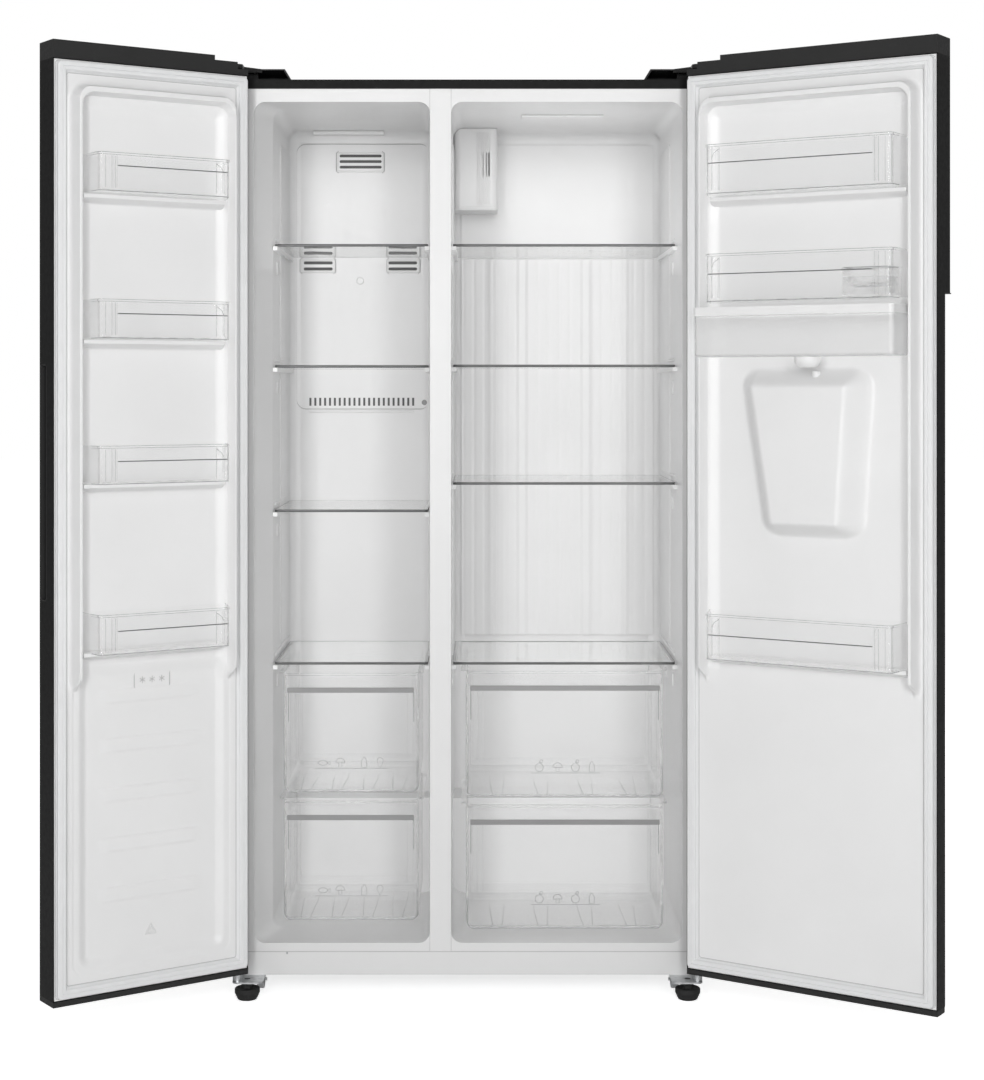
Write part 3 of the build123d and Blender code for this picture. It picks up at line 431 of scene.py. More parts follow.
def ring(x, z, radius, profile, steps=8):
    """Sweeps a closed profile of (inset, y) points round a rounded rectangle."""
    loops = []
    for inset, y in profile:
        loop_x, loop_z = (x[0] + inset, x[1] - inset), (z[0] + inset, z[1] - inset)
        outline = rounded(loop_x, loop_z, max(radius - inset, 0.5), steps)
        loops.append([(px, y, pz) for px, pz in outline])
    return lofted(loops, closed=True)


def tube(path, radius, sides=8, closed=False):
    """Round bar along a path of points."""
    loops = []
    count = len(path)
    for i, point in enumerate(path):
        before = Vector(path[i - 1] if i or closed else path[0])
        after = Vector(path[(i + 1) % count] if i < count - 1 or closed else path[-1])
        ahead = (after - before).normalized()
        side = ahead.cross(Vector((0.123, 0.992, 0.05))).normalized()
        up = side.cross(ahead)
        angles = [2 * math.pi * k / sides for k in range(sides)]
        loops.append([tuple(Vector(point) + radius * (math.cos(a) * side + math.sin(a) * up))
                      for a in angles])
    return lofted(loops, closed)


# ---------------------------------------------------------------- height fields
def ease(value, low, high):
    """Smooth step from 0 at low to 1 at high."""
    t = np.clip((value - low) / (high - low), 0, 1)
    return t * t * (3 - 2 * t)


def band(value, low, high, soft):
    """1 between low and high, fading over soft on both sides."""
    return ease(value, low - soft, low) * (1 - ease(value, high, high + soft))


def inside(x, z, box_x, box_z, radius):
    """Distance inwards from a rounded rectangle's edge, negative outside it."""
    over_x = np.abs(x - sum(box_x) / 2) - (box_x[1] - box_x[0]) / 2 + radius
    over_z = np.abs(z - sum(box_z) / 2) - (box_z[1] - box_z[0]) / 2 + radius
    corner = np.hypot(np.maximum(over_x, 0), np.maximum(over_z, 0))
    return radius - corner - np.minimum(np.maximum(over_x, over_z), 0)


def grid_lines(low, high, coarse, fine):
    """Positions from low to high, with closer ones inside the (start, end, step) spans."""
    marks = {low, high}
    marks.update(np.arange(low, high, coarse))
    for start, end, step in fine:
        marks = {m for m in marks if not start < m < end}
        marks.update(np.arange(max(start, low), min(end, high) + step / 2, step))
    lines = sorted(marks)
    kept = [lines[0]]
    for line in lines[1:]:
        if line - kept[-1] > 0.35:
            kept.append(line)
    return np.array(kept)


def height_sheet(xs, zs, height, back, pocket=None):
    """Closed sheet with height(x, z) on its face and a flat back, which may have one pocket."""
    grid_x, grid_z = np.meshgrid(xs, zs)
    heights = height(grid_x, grid_z)
    columns, rows = len(xs), len(zs)
    points = [(float(grid_x[r, c]), float(heights[r, c]), float(grid_z[r, c]))
              for r in range(rows) for c in range(columns)]
    faces = [(r * columns + c, r * columns + c + 1, (r + 1) * columns + c + 1, (r + 1) * columns + c)
             for r in range(rows - 1) for c in range(columns - 1)]
    rim = [c for c in range(columns)]
    rim += [r * columns + columns - 1 for r in range(1, rows)]
    rim += [(rows - 1) * columns + c for c in range(columns - 2, -1, -1)]
    rim += [r * columns for r in range(rows - 2, 0, -1)]
    start = len(points)
    points += [(points[i][0], back, points[i][2]) for i in rim]
    count = len(rim)
    faces += [(rim[i], rim[(i + 1) % count], start + (i + 1) % count, start + i)
              for i in range(count)]
    if pocket is None:
        faces.append(tuple(range(start, start + count)))
        return points, faces
    (left, right), (bottom, top), depth = pocket
    middle = (left + right) / 2
    column = int(np.argmin(np.abs(xs - middle)))
    low_mark = start + column
    high_mark = start + 2 * columns + rows - 3 - column
    mouth = len(points)
    outline = [(middle, bottom), (right, bottom), (right, top), (middle, top), (left, top), (left, bottom)]
    corners = len(outline)
    points += [(x, y, z) for y in (back, depth) for x, z in outline]
    faces.append(tuple(range(low_mark, high_mark + 1)) + (mouth + 3, mouth + 2, mouth + 1, mouth))
    faces.append(tuple(range(high_mark, start + count)) + tuple(range(start, low_mark + 1))
                 + (mouth, mouth + 5, mouth + 4, mouth + 3))
    faces += [(mouth + i, mouth + (i + 1) % corners, mouth + corners + (i + 1) % corners, mouth + corners + i)
              for i in range(corners)]
    faces.append(tuple(range(mouth + corners, mouth + 2 * corners)))
    return points, faces


# ---------------------------------------------------------------- door liners
BORDER_HINGE, BORDER_FREE = 38.6, 34
CREST_HINGE, CREST_FREE = 47, 46.5
FOOT_HINGE, FOOT_FREE = 28, 27
BORDER_TOP, CREST_TOP = 1710, 1693
BORDER_LOW = 632
RECESS_EDGE = 37
RECESS_LOW = 101
RIB_LEVELS = {"freezer": (602, 512, 422, 331, 240), "fridge": (554, 476, 397, 318, 239)}
RIB_ENDS = {"freezer": (110, 287), "fridge": (121, 354)}
RECESS_TOP = {"freezer": 663, "fridge": 639}
LEDGE_LEVELS = {"freezer": BIN_FLOORS["freezer"], "fridge": (1521, 666)}
LINER_POCKET = {"freezer": None, "fridge": ((182.5, 329.5), (932.5, 1163.5), 32.6)}


def liner_height(side, x, z):
    """How far a door's vacuum formed liner stands out of the door's inner face."""
    width = WIDTH[side]
    foot = inside(x, z, (FOOT_HINGE, width - FOOT_FREE), (-2000, BORDER_TOP + 8), 34)
    outer = inside(x, z, (BORDER_HINGE, width - BORDER_FREE), (-2000, BORDER_TOP), 27)
    inner = inside(x, z, (CREST_HINGE, width - CREST_FREE), (-2000, CREST_TOP), 22)
    standing = ease(z, BORDER_LOW - 16, BORDER_LOW + 12)
    wall = 26 * (1 - ease(inner, -4.5, 0.4)) + 8 * (1 - ease(inner, -1, 26))
    rise = 0.2 * ease(foot, 0, 10) + 0.8 * ease(outer, -2, 3.6)
    height = rise * wall * standing
    for floor in LEDGE_LEVELS[side]:
        shelf = ease(z, floor - 17, floor - 8) * (1 - ease(z, floor - 1.6, floor - 0.5))
        across = ease(x, 50, 66) * (1 - ease(x, width - 47, width - 44))
        height = np.maximum(height, 30 * shelf * across)
    recess = inside(x, z, (RECESS_EDGE, width - RECESS_EDGE),
                    (RECESS_LOW, RECESS_TOP[side] + 60), 26)
    lowered = 1 - ease(z, RECESS_TOP[side] - 30, RECESS_TOP[side])
    height = height - 1.0 * ease(recess, 0, 2.2) * lowered
    deep = inside(x, z, (48, width - 48), (112, RECESS_TOP[side] + 60), 26)
    height = height - 7.5 * ease(deep, 0, 20) * lowered
    for level in RIB_LEVELS[side]:
        ends = RIB_ENDS[side]
        rib = ease(z, level - 15, level - 9) * (1 - ease(z, level + 11.5, level + 13.5))
        height = height + 1.9 * rib * band(x, ends[0], ends[1], 9)
    if side == "fridge":
        height = np.maximum(height, bulge_height(x, z))
    return height


def bulge_height(x, z):
    """The housing of the dispenser niche, seen from inside: a soft tapered block."""
    low_z, high_z = 889, 1204
    rise = (z - low_z) / (high_z - low_z)
    left = 160 - 50 * rise
    right = 363 + 21 * rise
    beside = np.minimum((x - left) / 44, (right - x) / 46)
    above = (z - low_z) / 32
    below = (high_z - z) / 40
    corner = np.hypot(np.maximum(1 - beside, 0), np.maximum(1 - np.minimum(above, below), 0))
    return 46 * ease(1 - corner, 0, 1)


def make_door_liner(side):
    width = WIDTH[side]
    fine_x = [(24, 72, 1.6), (width - 74, width - 26, 1.6)]
    fine_z = [(94, 142, 1.8), (1660, 1714, 1.7)]
    for floor in LEDGE_LEVELS[side]:
        fine_z.append((floor - 28, floor - 4, 2.0))
        fine_z.append((floor - 3.2, floor + 1.2, 0.55))
    fine_z += [(level - 18, level + 16, 2.0) for level in RIB_LEVELS[side]]
    if side == "fridge":
        fine_x.append((104, 210, 3.0))
        fine_x.append((312, 390, 3.0))
        fine_z.append((880, 930, 2.4))
        fine_z.append((1150, 1210, 2.4))
    xs = grid_lines(2.5, width - 2.5, 8, fine_x)
    zs = grid_lines(DOOR_LOW + 2, DOOR_HIGH - 2, 9, fine_z)
    sheet = height_sheet(xs, zs, lambda x, z: liner_height(side, x, z), -12.5,
                         LINER_POCKET[side])
    liner = piece(f"{side}_door_inner", sheet, DOOR[side], f"{side}_door", "white_plastic",
                  smooth_angle=50)
    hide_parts(f"{side}_door_liner", f"{side}_door_foam")


def make_gasket(side):
    """Magnetic seal: a soft hollow frame with folds."""
    width = WIDTH[side]
    top = DOOR_GAP - GASKET_GAP
    profile = [(0, 0), (0, 2.5), (1.2, 3.4), (1.2, 4.4), (0.2, 5.4), (0.4, top - 1.6), (2.2, top),
               (8.5, top), (9.3, top - 1.4), (10.1, top), (15.2, top - 0.4), (17.0, top - 2.4),
               (16.6, 5.2), (17.8, 4.2), (17.2, 2.8), (19.2, 1.8), (20, 0)]
    folds = ring((5, width - 5), (DOOR_LOW + 5, DOOR_HIGH - 5), 8, profile)
    seal_piece = piece(f"{side}_door_seal", folds, DOOR[side], f"{side}_door", "seal")
    # Painted shade: thin grey rings just outside and just inside the seal stand in for the shade in the gaps
    # beside it.
    thread = [(0, -0.4), (0, 0.5), (0.9, 0.5), (0.9, -0.4)]
    lines = [ring((inset, width - inset), (DOOR_LOW + inset, DOOR_HIGH - inset), radius, thread)
             for inset, radius in ((3.6, 8), (25.3, 5))]
    piece(f"{side}_door_seams", joined(*lines), DOOR[side], f"{side}_door", "seal", "seam_shade")
    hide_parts(f"{side}_door_gasket")


# ---------------------------------------------------------------- bins and dispenser
BIN_REACH = 87
BIN_HINGE_END = 86
BIN_FREE_END = 50.5
BIN_LINES = {"freezer": (1561, 1297.5, 1034, 731.5), "fridge": (1578, 1374, 711)}


def make_bin_details(side):
    """Moulded ridges at a bin's ends, a thin dark line along its front and grey outlines of painted shade along
    its edges.
    """
    width = WIDTH[side]
    far = width - BIN_FREE_END
    levels = zip(BIN_FLOORS[side], BIN_TOPS[side], BIN_LINES[side])
    for number, (low, high, line) in enumerate(levels, 1):
        body = f"{side}_bin_{number}"
        strip = plate((BIN_HINGE_END + 2, far - 37), (BIN_REACH - 3.4, BIN_REACH - 2.5),
                      (line - 0.9, line + 0.9), 0.5, 0.2)
        piece(f"{body}_strip", strip, DOOR[side], body, "clear_plastic", "glass_edge_shade")
        ridges = []
        for x in (BIN_HINGE_END + 12, BIN_HINGE_END + 24, far - 27, far - 33):
            ridges.append(plate((x - 1.3, x + 1.3), (BIN_REACH, BIN_REACH + 1.4),
                                (low + 7, high - 5), 1.2, 0.6))
        for share in np.linspace(0.12, 0.88, 7):
            x = BIN_HINGE_END + share * (far - BIN_HINGE_END)
            ridges.append(tube([(x, 66, low + 2.6), (x + 15, 66, low + 2.6)], 1.1))
        piece(f"{body}_ridges", joined(*ridges), DOOR[side], body, "clear_plastic")
        # Painted shade: grey tubes along the bin's edges and ridges stand in for the dark lines that bent light
        # makes in clear plastic.
        front = BIN_REACH - 0.3
        lines = []
        for z, radius in ((low + 0.9, 0.75), (high - 4.2, 0.35), (high - 0.4, 0.4)):
            corner = [(BIN_HINGE_END - 17, front - 40, z), (BIN_HINGE_END - 1, front - 5, z),
                      (BIN_HINGE_END + 5, front, z), (far - 7, front, z), (far - 1.5, front - 5, z),
                      (far - 0.5, front - 34, z)]
            lines.append(tube(corner, radius, 6))
        for x, y in ((BIN_HINGE_END, front - 3), (far - 1.4, front - 4)):
            lines.append(tube([(x, y, low + 3), (x, y, high - 3)], 0.5, 6))
        for x in (BIN_HINGE_END + 10, BIN_HINGE_END + 26, far - 12, far - 24, far - 31):
            lines.append(tube([(x, front, low + 6), (x, front, high - 6)], 0.3, 6))
        lines.append(tube([(BIN_HINGE_END + 11, front, high - 24), (BIN_HINGE_END + 15, front, high - 16),
                           (BIN_HINGE_END + 25, front, high - 9)], 0.4, 6))
        piece(f"{body}_outline", joined(*lines), DOOR[side], body, "clear_plastic", "plastic_edge_shade")


def make_spout():
    """White outlet under the water tank."""
    x, y, low = 272, 52, 1202
    loops = []
    for z, radius in ((1221, 20), (1213, 20), (1206, 17), (low, 12), (low, 9), (1207, 9)):
        loops.append([(x + 1.25 * radius * math.cos(a), y + radius * math.sin(a), z)
                      for a in np.linspace(0, 2 * math.pi, 33)[:-1]])
    piece("tank_spout", lofted(loops), DOOR["fridge"], "water_tank", "white_plastic")


# ---------------------------------------------------------------- cabinet details
SHELF_TOPS = {"freezer": (1449, 1210, 925), "fridge": (1449, 1211, 979)}
COVER_TOP = 624
GLASS = 5
SHELF_Y = (115, 457)
SHELF_X = {"freezer": (-381, -79), "fridge": (-29, 409)}
DRAWER_X = {"freezer": (-362, -96), "fridge": (-4, 384)}
DRAWER_Z = {"freezer": ((371, 606), (121, 357)), "fridge": ((362, 610), (104, 348))}
DRAWER_NAMES = {"freezer": ("freezer_drawer_upper", "freezer_drawer_lower"),
                "fridge": ("crisper_upper", "crisper_lower")}
DRAWER_FRONT = 88
DUCT_FACE = {"freezer": 475, "fridge": 515}


def make_filler_details():
    """Rim and sloped funnel inside the filler cup."""
    x0, x1 = WIDTH["fridge"] - 150, WIDTH["fridge"] - 64
    floor = BIN_FLOORS["fridge"][1] + 9.5
    loops = []
    for z, inset, radius in ((floor + 30, 0.3, 4), (floor + 14, 9, 8), (floor + 12, 13, 7),
                             (floor + 2, 13.4, 6.6)):
        outline = rounded((x0 + inset, x1 - inset), (26.2 + inset, 67.8 - inset), radius)
        loops.append([(px, py, z) for px, py in outline])
    funnel = lofted(loops)
    outlet = tube([((x0 + x1) / 2, 47, floor + 3), ((x0 + x1) / 2, 47, floor + 20)], 7, 16)
    rim = tube([(px, py, floor + 46.2) for px, py in rounded((x0 - 0.6, x1 + 0.6), (25.4, 68.6), 5)],
               0.8, closed=True)
    piece("filler_funnel", joined(funnel, outlet), DOOR["fridge"], "fridge_bin_2", "clear_plastic")
    # Painted shade: the rim takes the grey clear-edge look.
    piece("filler_rim", rim, DOOR["fridge"], "fridge_bin_2", "clear_plastic", "plastic_edge_shade")


def make_glass_edges():
    """Painted shade: a dark band round the polished edge of each sheet of glass, where light bent through the
    glass makes the edge look dark.
    """
    for side, tops in SHELF_TOPS.items():
        bodies = [f"{side}_shelf_{number}" for number in (1, 2, 3)] + ["cabinet"]
        for body, top in zip(bodies, (*tops, COVER_TOP)):
            profile = [(-0.35, top - GLASS + 0.4), (-0.35, top - 0.4), (0, top + 0.1),
                       (0.5, top + 0.1), (0.5, top - GLASS - 0.1), (0, top - GLASS - 0.1)]
            edge = ring(SHELF_X[side], SHELF_Y, 6, profile)
            name = f"{body}_edge" if body != "cabinet" else f"{side}_cover_glass_edge"
            piece(name, edge, FLAT, body, "shelf_glass", "glass_edge_shade")


def circle(x, z, radius, start=0, end=360, steps=20):
    return [(x + radius * math.cos(math.radians(a)), z + radius * math.sin(math.radians(a)))
            for a in np.linspace(start, end, steps)]


def fruit(x, z):
    """Round fruit with a leaf."""
    return [circle(x, z, 8, 100, 440), [(x, z + 8), (x + 1, z + 12)],
            circle(x + 4, z + 12, 3, 0, 330, 10)]


def mushroom(x, z):
    cap = circle(x, z, 9, 0, 180) + [(x + 9, z)]
    return [cap, [(x - 3, z), (x - 3, z - 8), (x + 3, z - 8), (x + 3, z)]]


def bottle(x, z):
    return [[(x - 5, z - 9), (x - 5, z + 5), (x - 2, z + 8), (x - 2, z + 11), (x + 2, z + 11),
             (x + 2, z + 8), (x + 5, z + 5), (x + 5, z - 9), (x - 5, z - 9)]]


def cone(x, z):
    return [circle(x, z + 4, 6, -20, 200), [(x - 6, z + 2), (x, z - 10), (x + 6, z + 2)]]


def fish(x, z):
    body = circle(x, z - 7, 12, 35, 145) + circle(x, z + 7, 12, 215, 325)
    return [body + body[:1], [(x + 9, z), (x + 14, z + 4), (x + 14, z - 4), (x + 9, z)]]


SIGNS = {"freezer": ((-284, fish), (-250, mushroom), (-203, bottle), (-172, cone)),
         "fridge": ((140, fruit), (176, mushroom), (211, fruit), (243, bottle))}


def make_drawer_details(side):
    """Grip shade, bottom bead, upright ridges and plain food signs on each drawer's front; the grip shade is a
    grey band and the bead, its uprights and the signs are grey lines, all painted shade.
    """
    x0, x1 = DRAWER_X[side]
    for body, (low, high) in zip(DRAWER_NAMES[side], DRAWER_Z[side]):
        band = plate((x0 + 9, x1 - 9), (DRAWER_FRONT - 13.2, DRAWER_FRONT - 15.2),
                     (high - 36.5, high - 26.5), 1, 0.4)
        piece(f"{body}_grip_band", band, CABINET, body, "clear_plastic", "plastic_shade")
        radius = 12
        front = DRAWER_FRONT - 0.4
        sweep = [(x0 + 3.4, low + 62)]
        sweep += [(px + 3.4, pz) for px, pz in circle(x0 + radius, low + radius + 2, radius, 180, 270, 8)]
        sweep += [(px - 3.4, pz) for px, pz in circle(x1 - radius, low + radius + 2, radius, 270, 360, 8)]
        sweep += [(x1 - 3.4, low + 62)]
        bead = tube([(px, front, pz) for px, pz in sweep], 0.9)
        uprights = []
        for x in (x0 + 10, x1 - 10):
            uprights.append(tube([(x, front, high - 36), (x, front, high - 96)], 0.7))
        piece(f"{body}_bead", joined(bead, *uprights), CABINET, body, "clear_plastic",
              "plastic_edge_shade")
        ridges = []
        for x in (x0 + 22, x0 + 33, x1 - 22):
            ridges.append(plate((x - 1.2, x + 1.2), (DRAWER_FRONT - 0.1, DRAWER_FRONT - 1.5),
                                (low + 72, high - 38), 1.1, 0.6))
        piece(f"{body}_ridges", joined(*ridges), CABINET, body, "clear_plastic")
        lines = []
        base = low + 59
        for x, sign in SIGNS[side]:
            for path in sign(x, base):
                lines.append(tube([(px, front, pz) for px, pz in path], 0.45, 6))
        ends = [(SIGNS[side][0][0] - 16, front, base - 11), (SIGNS[side][-1][0] + 16, front, base - 11)]
        lines.append(tube(ends, 0.4, 6))
        piece(f"{body}_signs", joined(*lines), CABINET, body, "clear_plastic", "plastic_edge_shade")


COVE_Z = (274, 1714)
VENTS = (((-283, -182), (1628, 1671)), ((-361, -286), (1412, 1442)), ((-175, -105), (1412, 1442)))


def make_freezer_back():
    """Frames round the vents, dark plates of painted shade behind them, a cap, a sensor and grey lines of painted
    shade at the cover's seams.
    """
    face = DUCT_FACE["freezer"]
    frames = [ring(x, z, 4, [(0, face), (0, face - 1), (0.8, face - 1.8), (2.2, face - 1.8),
                             (3, face - 1), (3, face)]) for x, z in VENTS]
    # Painted shade: grey lines at the vent ends and round the cover's edge stand in for the shade in its joints.
    brackets = []
    for x, z in VENTS:
        for end, turn in ((x[0] - 1, 1), (x[1] + 1, -1)):
            bend = [(end + 5 * turn, face - 1.6, z[0] - 2), (end, face - 1.6, z[0] + 2),
                    (end, face - 1.6, z[1] - 2), (end + 5 * turn, face - 1.6, z[1] + 2)]
            brackets.append(tube(bend, 0.6, 6))
    outline = rounded((-369, -84), (1120, 1688), 20)
    rim = [(px, face - 0.7, pz) for px, pz in outline]
    brackets.append(tube(rim + rim[:1], 0.8, 6))
    piece("duct_lines", joined(*brackets), CABINET, "cabinet", "white_plastic", "seam_shade")
    ledge = plate((-378, -80), (face, face - 3.5), (1452, 1456), 1.5, 1.2)
    rim = plate((-343, -118), (face, face - 1.6), (1112, 1116), 1.2, 0.8)
    piece("duct_frames", joined(*frames, ledge, rim), CABINET, "cabinet", "white_plastic")
    shades = [plate((x[0] + 2, x[1] - 2), (face + 2.1, face + 2.5), (z[0] + 2, z[1] - 2), 1, 0.1)
              for x, z in VENTS]
    shades.append(plate((-346, -108), (face + 2.1, face + 2.5), (1122, 1148), 1, 0.1))
    piece("duct_shades", joined(*shades), CABINET, "cabinet", "black_plastic", "shade_grey")
    loops = []
    for y, radius in ((face, 8), (face - 1.6, 8), (face - 2.4, 7), (face - 1.2, 6), (face - 1.2, 0.4)):
        loops.append([(px, y, pz) for px, pz in circle(-233, 1395, radius, 0, 345, 24)])
    piece("duct_cap", lofted(loops), CABINET, "cabinet", "white_plastic")
    loops = []
    for y, radius in ((face, 6), (face - 2.2, 5.6), (face - 3, 4.4), (face - 3, 0.4)):
        loops.append([(px, y, pz) for px, pz in circle(-95, 1134, radius, 0, 345, 24)])
    piece("duct_sensor", lofted(loops), CABINET, "cabinet", "grey_plastic", "plastic_shade")


def cove(side, x, face):
    """Soft corner between a compartment's walls and its back."""
    profile = [(0, face - 26), (1, face - 18), (3.4, face - 10), (8, face - 4.4), (15, face - 1.4),
               (24, face - 0.5), (24, face + 2.4), (0, face + 2.4)]
    corner = ring(x, COVE_Z, 24, profile)
    backing = plate(x, (face + 3.6, face + 2.6), COVE_Z, 22, 0.2)
    piece(f"{side}_cove", joined(corner, backing), CABINET, "cabinet", "white_plastic", smooth_angle=60)


def ridge_sheet_height(x, z):
    """Relief of the refrigerator's back: a lower panel with soft upright ridges."""
    lower = 1 - ease(z, 1443, 1446)
    height = 2.2 * lower + 1.2 * band(z, 1449, 1452, 1.5)
    for middle, reach, rise in ((50, 9, 1.5), (116, 16, 1.9), (254, 18, 1.9), (335, 12, 1.5)):
        height = height + rise * lower * (1 - ease(np.abs(x - middle), reach * 0.35, reach))
    return height - 0.5 * band(np.mod(x, 23), 10, 13, 3) * lower


def make_fridge_back():
    """Back panel with ridges, the damper's grooves and a bead along its foot."""
    face = DUCT_FACE["fridge"] - 3.4
    xs = grid_lines(-16, 398, 2.6, [])
    zs = grid_lines(632, 1690, 14, [(1438, 1456, 0.8)])
    points, faces = height_sheet(xs, zs, ridge_sheet_height, -0.6)
    points = [(px, face - py, pz) for px, py, pz in points]
    piece("fridge_back_relief", (points, faces), CABINET, "cabinet", "white_plastic", smooth_angle=50)
    front = 402
    grooves = [plate((x, x + 1.6), (front, front - 1.1), (1552, 1704), 0.7, 0.4)
               for x in np.arange(18, 46, 4.4)]
    foot = plate((-22, 55), (front + 1, front - 1.6), (1543, 1548), 2, 1)
    piece("damper_ridges", joined(*grooves, foot), CABINET, "cabinet", "white_plastic")


def make_rear_details():
    """Upright stiffening beads on the rear panel and a blank rating plate."""
    back = 620
    beads = []
    for x in (-300, -150, 0, 150, 300):
        loops = []
        for inset, out in ((0, 0), (2, 1.0), (5, 1.4)):
            outline = rounded((x - 14 + inset, x + 14 - inset), (330 + inset, 1690 - inset), 13 - inset)
            loops.append([(px, back + out, pz) for px, pz in outline])
        beads.append(lofted(loops))
    piece("rear_beads", joined(*beads), CABINET, "cabinet", "zinc_steel")
    label = plate((-60, 60), (back, back + 0.5), (1560, 1640), 4, 0.2)
    piece("rating_plate", label, CABINET, "cabinet", "grey_plastic")


def make_frame_seam():
    """Shaded joints between the frame, the rail and the mullion, and the clip beside the hinge."""
    joint = plate((1 - HALF_WIDTH, HALF_WIDTH - 1), (0.5, -0.1), (82.7, 84.0), 0.5, 0.1)
    piece("rail_joint", joint, CABINET, "cabinet", "white_steel", "seam_shade")
    top, mouth_low, mouth_high = frame_high.z / MM, 122, 1692
    uprights = [plate(x, (0.5, 0.2), z, 0.3, 0.1) for x in ((-72.9, -71.9), (-32.1, -31.1))
                for z in ((84, mouth_low), (mouth_high, top))]
    piece("mullion_joints", joined(*uprights), CABINET, "cabinet", "white_steel", "seam_shade")
    clip = plate((-348, -344.5), (0.5, -0.4), (78.5, 83), 1.2, 0.3)
    piece("rail_clip", clip, CABINET, "cabinet", "grey_plastic")


def make_wall_guides():
    """Rounded guides moulded in the side walls above and below each shelf."""
    for side, tops in SHELF_TOPS.items():
        x0, x1 = SHELF_X[side][0] - 3, SHELF_X[side][1] + 3
        guides = []
        for top in (*tops, COVER_TOP):
            for wall, inward in ((x0, 1), (x1, -1)):
                for low, high, reach, y in ((top + 6, top + 14, 2.6, (150, 470)),
                                            (top - 58, top - 30, 2.4, (182, 194)),
                                            (top - 58, top - 30, 2.4, (330, 342))):
                    loops = []
                    for inset, out in ((0, -0.5), (0.4, reach - 2), (2.4, reach)):
                        loops.append([(wall + inward * out, py, pz) for py, pz in rounded(
                            (y[0] + inset, y[1] - inset), (low + inset, high - inset), 3.4 - inset)])
                    guides.append(lofted(loops))
        piece(f"{side}_wall_guides", joined(*guides), CABINET, "cabinet", "white_plastic")
        panels = []
        for wall, inward in ((x0, 1), (x1, -1)):
            loops = []
            for inset, out in ((0, -0.4), (0.5, 1.2), (2.6, 2.2)):
                loops.append([(wall + inward * out, py, pz) for py, pz in rounded(
                    (250 + inset, 470 - inset), (640 + inset, 1664 - inset), 22 - inset)])
            panels.append(lofted(loops))
        piece(f"{side}_wall_panels", joined(*panels), CABINET, "cabinet", "white_plastic")


STAR = 6
MARK_LEVEL = -7.4       # y of the recessed faces that carry the marks


def star(x, z, radius):
    """Plain six-pointed star as three crossing strokes."""
    strokes = []
    for turn in range(3):
        angle = math.pi * turn / 3 + math.pi / 2
        dx, dz = radius * math.cos(angle), radius * math.sin(angle)
        strokes.append([(x - dx, z - dz), (x + dx, z + dz)])
    return strokes


def triangle(x, z, radius):
    """Rounded triangle outline."""
    corners = [(x + radius * math.cos(a), z + radius * math.sin(a))
               for a in (math.pi / 2, math.pi * 7 / 6, math.pi * 11 / 6)]
    return [corners + corners[:1]]


def make_door_marks():
    """Plain raised marks on the liners: a framed row of stars and a triangle."""
    def raised(paths, radius):
        return [tube([(px, MARK_LEVEL, pz) for px, pz in path], radius, 6) for path in paths]

    low, high = MARK_LEVEL - 0.6, MARK_LEVEL + 0.5
    # Painted shade: the stars and their frame take the grey seam look, so their raised relief shows as shade.
    strokes = [ring((159, 232), (612, 644), 5, [(0, low), (0.3, high), (1.1, high), (1.4, low)])]
    for x in (176, 195.5, 215):
        strokes += raised(star(x, 628, STAR), 0.6)
    piece("freezer_door_stars", joined(*strokes), DOOR["freezer"], "freezer_door", "white_plastic",
          "seam_shade")
    for side, x, z in (("freezer", 198, 165), ("fridge", 236, 169)):
        strokes = raised(triangle(x, z, 13), 1.0) + raised(triangle(x, z, 7), 0.7)
        piece(f"{side}_door_triangle", joined(*strokes), DOOR[side], f"{side}_door", "white_plastic")


def make_drawer_ribs():
    """Slanted ribs on each drawer's floor."""
    for side in WIDTH:
        x0, x1 = DRAWER_X[side]
        for body, (low, _) in zip(DRAWER_NAMES[side], DRAWER_Z[side]):
            ribs = []
            for share in (0.16, 0.39, 0.62, 0.84):
                x = x0 + share * (x1 - x0)
                for lean in (-9, 9):
                    ribs.append(tube([(x + lean, 104, low + 2.6), (x + 1.7 * lean, 260, low + 2.6)], 1.0, 6))
            piece(f"{body}_floor_ribs", joined(*ribs), CABINET, body, "clear_plastic")


# ---------------------------------------------------------------- scene
def paint_nodes():
    """Gives each carried-over node the look of its material slot."""
    for part in frame["record"]["subparts"]:
        mesh = nodes[part["node"]].data
        mesh.materials.clear()
        mesh.materials.append(LOOKS[part["material_slot"]])
        lets_light_through(nodes[part["node"]])


def make_camera():
    data = bpy.data.cameras.new("camera")
    data.sensor_fit = "VERTICAL"
    data.sensor_height = 36
    data.lens = 69.83
    data.shift_x = 0.0124
    data.shift_y = -0.1403
    camera = bpy.data.objects.new("camera", data)
    camera.location = at(21.2, -4020, 1164)
    camera.rotation_euler = (math.pi / 2, 0, 0)
    bpy.context.scene.collection.objects.link(camera)
    bpy.context.scene.camera = camera


def softbox(name, place, target, size, power, seen=True):
    data = bpy.data.lights.new(name, "AREA")
    data.shape = "RECTANGLE"
    data.size, data.size_y = size
    data.energy = power
    light = bpy.data.objects.new(name, data)
    light.location = place
    light.rotation_euler = (target - place).to_track_quat("-Z", "Y").to_euler()
    light.visible_camera = False
    light.visible_transmission = False
    light.visible_glossy = seen
    bpy.context.scene.collection.objects.link(light)


def camera_only(look, value):
    """A value that only counts for what the camera sees directly."""
    ray = look.add("ShaderNodeLightPath")
    scaled = look.add("ShaderNodeMath", operation="MULTIPLY")
    look.link(ray.outputs["Is Camera Ray"], scaled.inputs[0])
    scaled.inputs[1].default_value = value
    return scaled.outputs["Value"]


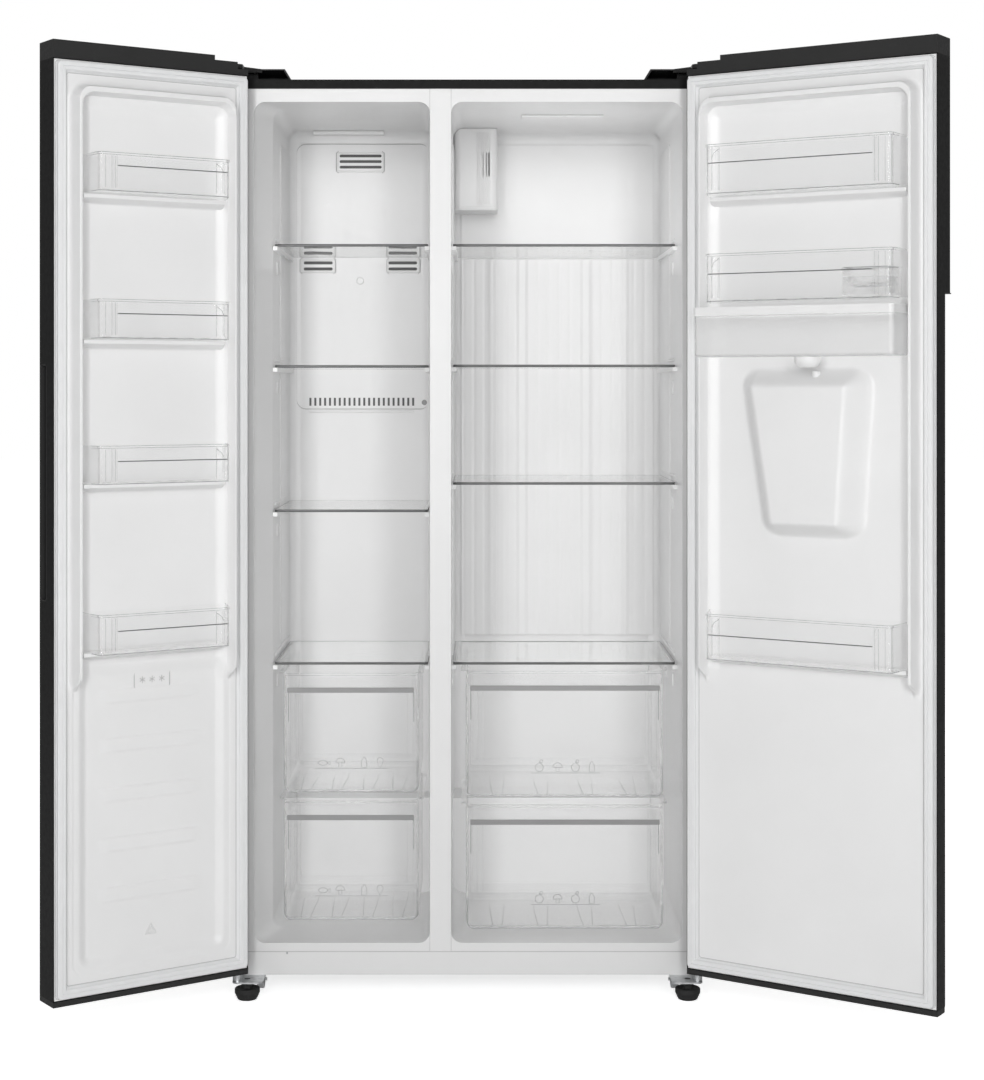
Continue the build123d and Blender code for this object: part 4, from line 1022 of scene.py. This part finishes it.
def make_studio():
    middle = at(0, 200, 900)
    softbox("key", at(0, -4600, 2300), middle, (2.6, 1.6), 51)
    softbox("left_strip", at(-950, -4300, 1300), middle, (0.5, 2.4), 37)
    softbox("right_strip", at(950, -4300, 1300), middle, (0.5, 2.4), 28)
    softbox("rear", at(0, 4200, 2600), middle, (3.0, 2.0), 48)
    softbox("freezer_fill", at(-242, -30, 750), at(-242, 600, 850), (0.26, 1.3), 0.13, False)
    softbox("fridge_fill", at(190, -30, 750), at(190, 600, 900), (0.36, 1.3), 0.27, False)
    softbox("freezer_top", at(-230, 120, 1390), at(-230, 110, 1700), (0.26, 0.2), 0.07, False)
    softbox("fridge_top", at(190, 120, 1390), at(190, 110, 1700), (0.38, 0.2), 0.24, False)
    world = bpy.data.worlds.new("studio")
    bpy.context.scene.world = world
    world.use_nodes = True
    tree = world.node_tree
    ray = tree.nodes.new("ShaderNodeLightPath")
    level = tree.nodes.new("ShaderNodeMapRange")
    level.inputs["To Min"].default_value = 0.35
    level.inputs["To Max"].default_value = 1.0
    tree.links.new(ray.outputs["Is Camera Ray"], level.inputs["Value"])
    sky = tree.nodes["Background"]
    sky.inputs["Color"].default_value = (1, 1, 1, 1)
    tree.links.new(level.outputs["Result"], sky.inputs["Strength"])
    bpy.context.scene.view_settings.view_transform = "Standard"

    mesh = bpy.data.meshes.new("floor")
    reach = 30
    mesh.from_pydata([(-reach, -reach, 0), (reach, -reach, 0), (reach, reach, 0), (-reach, reach, 0)],
                     [], [(0, 1, 2, 3)])
    ground = Look("floor", 0.8)
    ground.colour(ground.blend(ground.noise(3), (0.90, 0.90, 0.90), (0.92, 0.92, 0.92)))
    ground.shader.inputs["Specular IOR Level"].default_value = 0.0
    ground.shader.inputs["Emission Color"].default_value = (1, 1, 1, 1)
    ground.link(camera_only(ground, 0.72), ground.shader.inputs["Emission Strength"])
    mesh.materials.append(ground.material)
    floor = bpy.data.objects.new("floor", mesh)
    bpy.context.scene.collection.objects.link(floor)


make_camera()
make_studio()
paint_nodes()
for door_side in WIDTH:
    make_door_liner(door_side)
    make_gasket(door_side)
    make_bin_details(door_side)
    make_drawer_details(door_side)
make_spout()
make_filler_details()
make_glass_edges()
make_freezer_back()
make_fridge_back()
cove("freezer", (-384, -76), DUCT_FACE["freezer"])
cove("fridge", (-32, 412), DUCT_FACE["fridge"])
make_wall_guides()
make_frame_seam()
make_rear_details()
make_door_marks()
make_drawer_ribs()
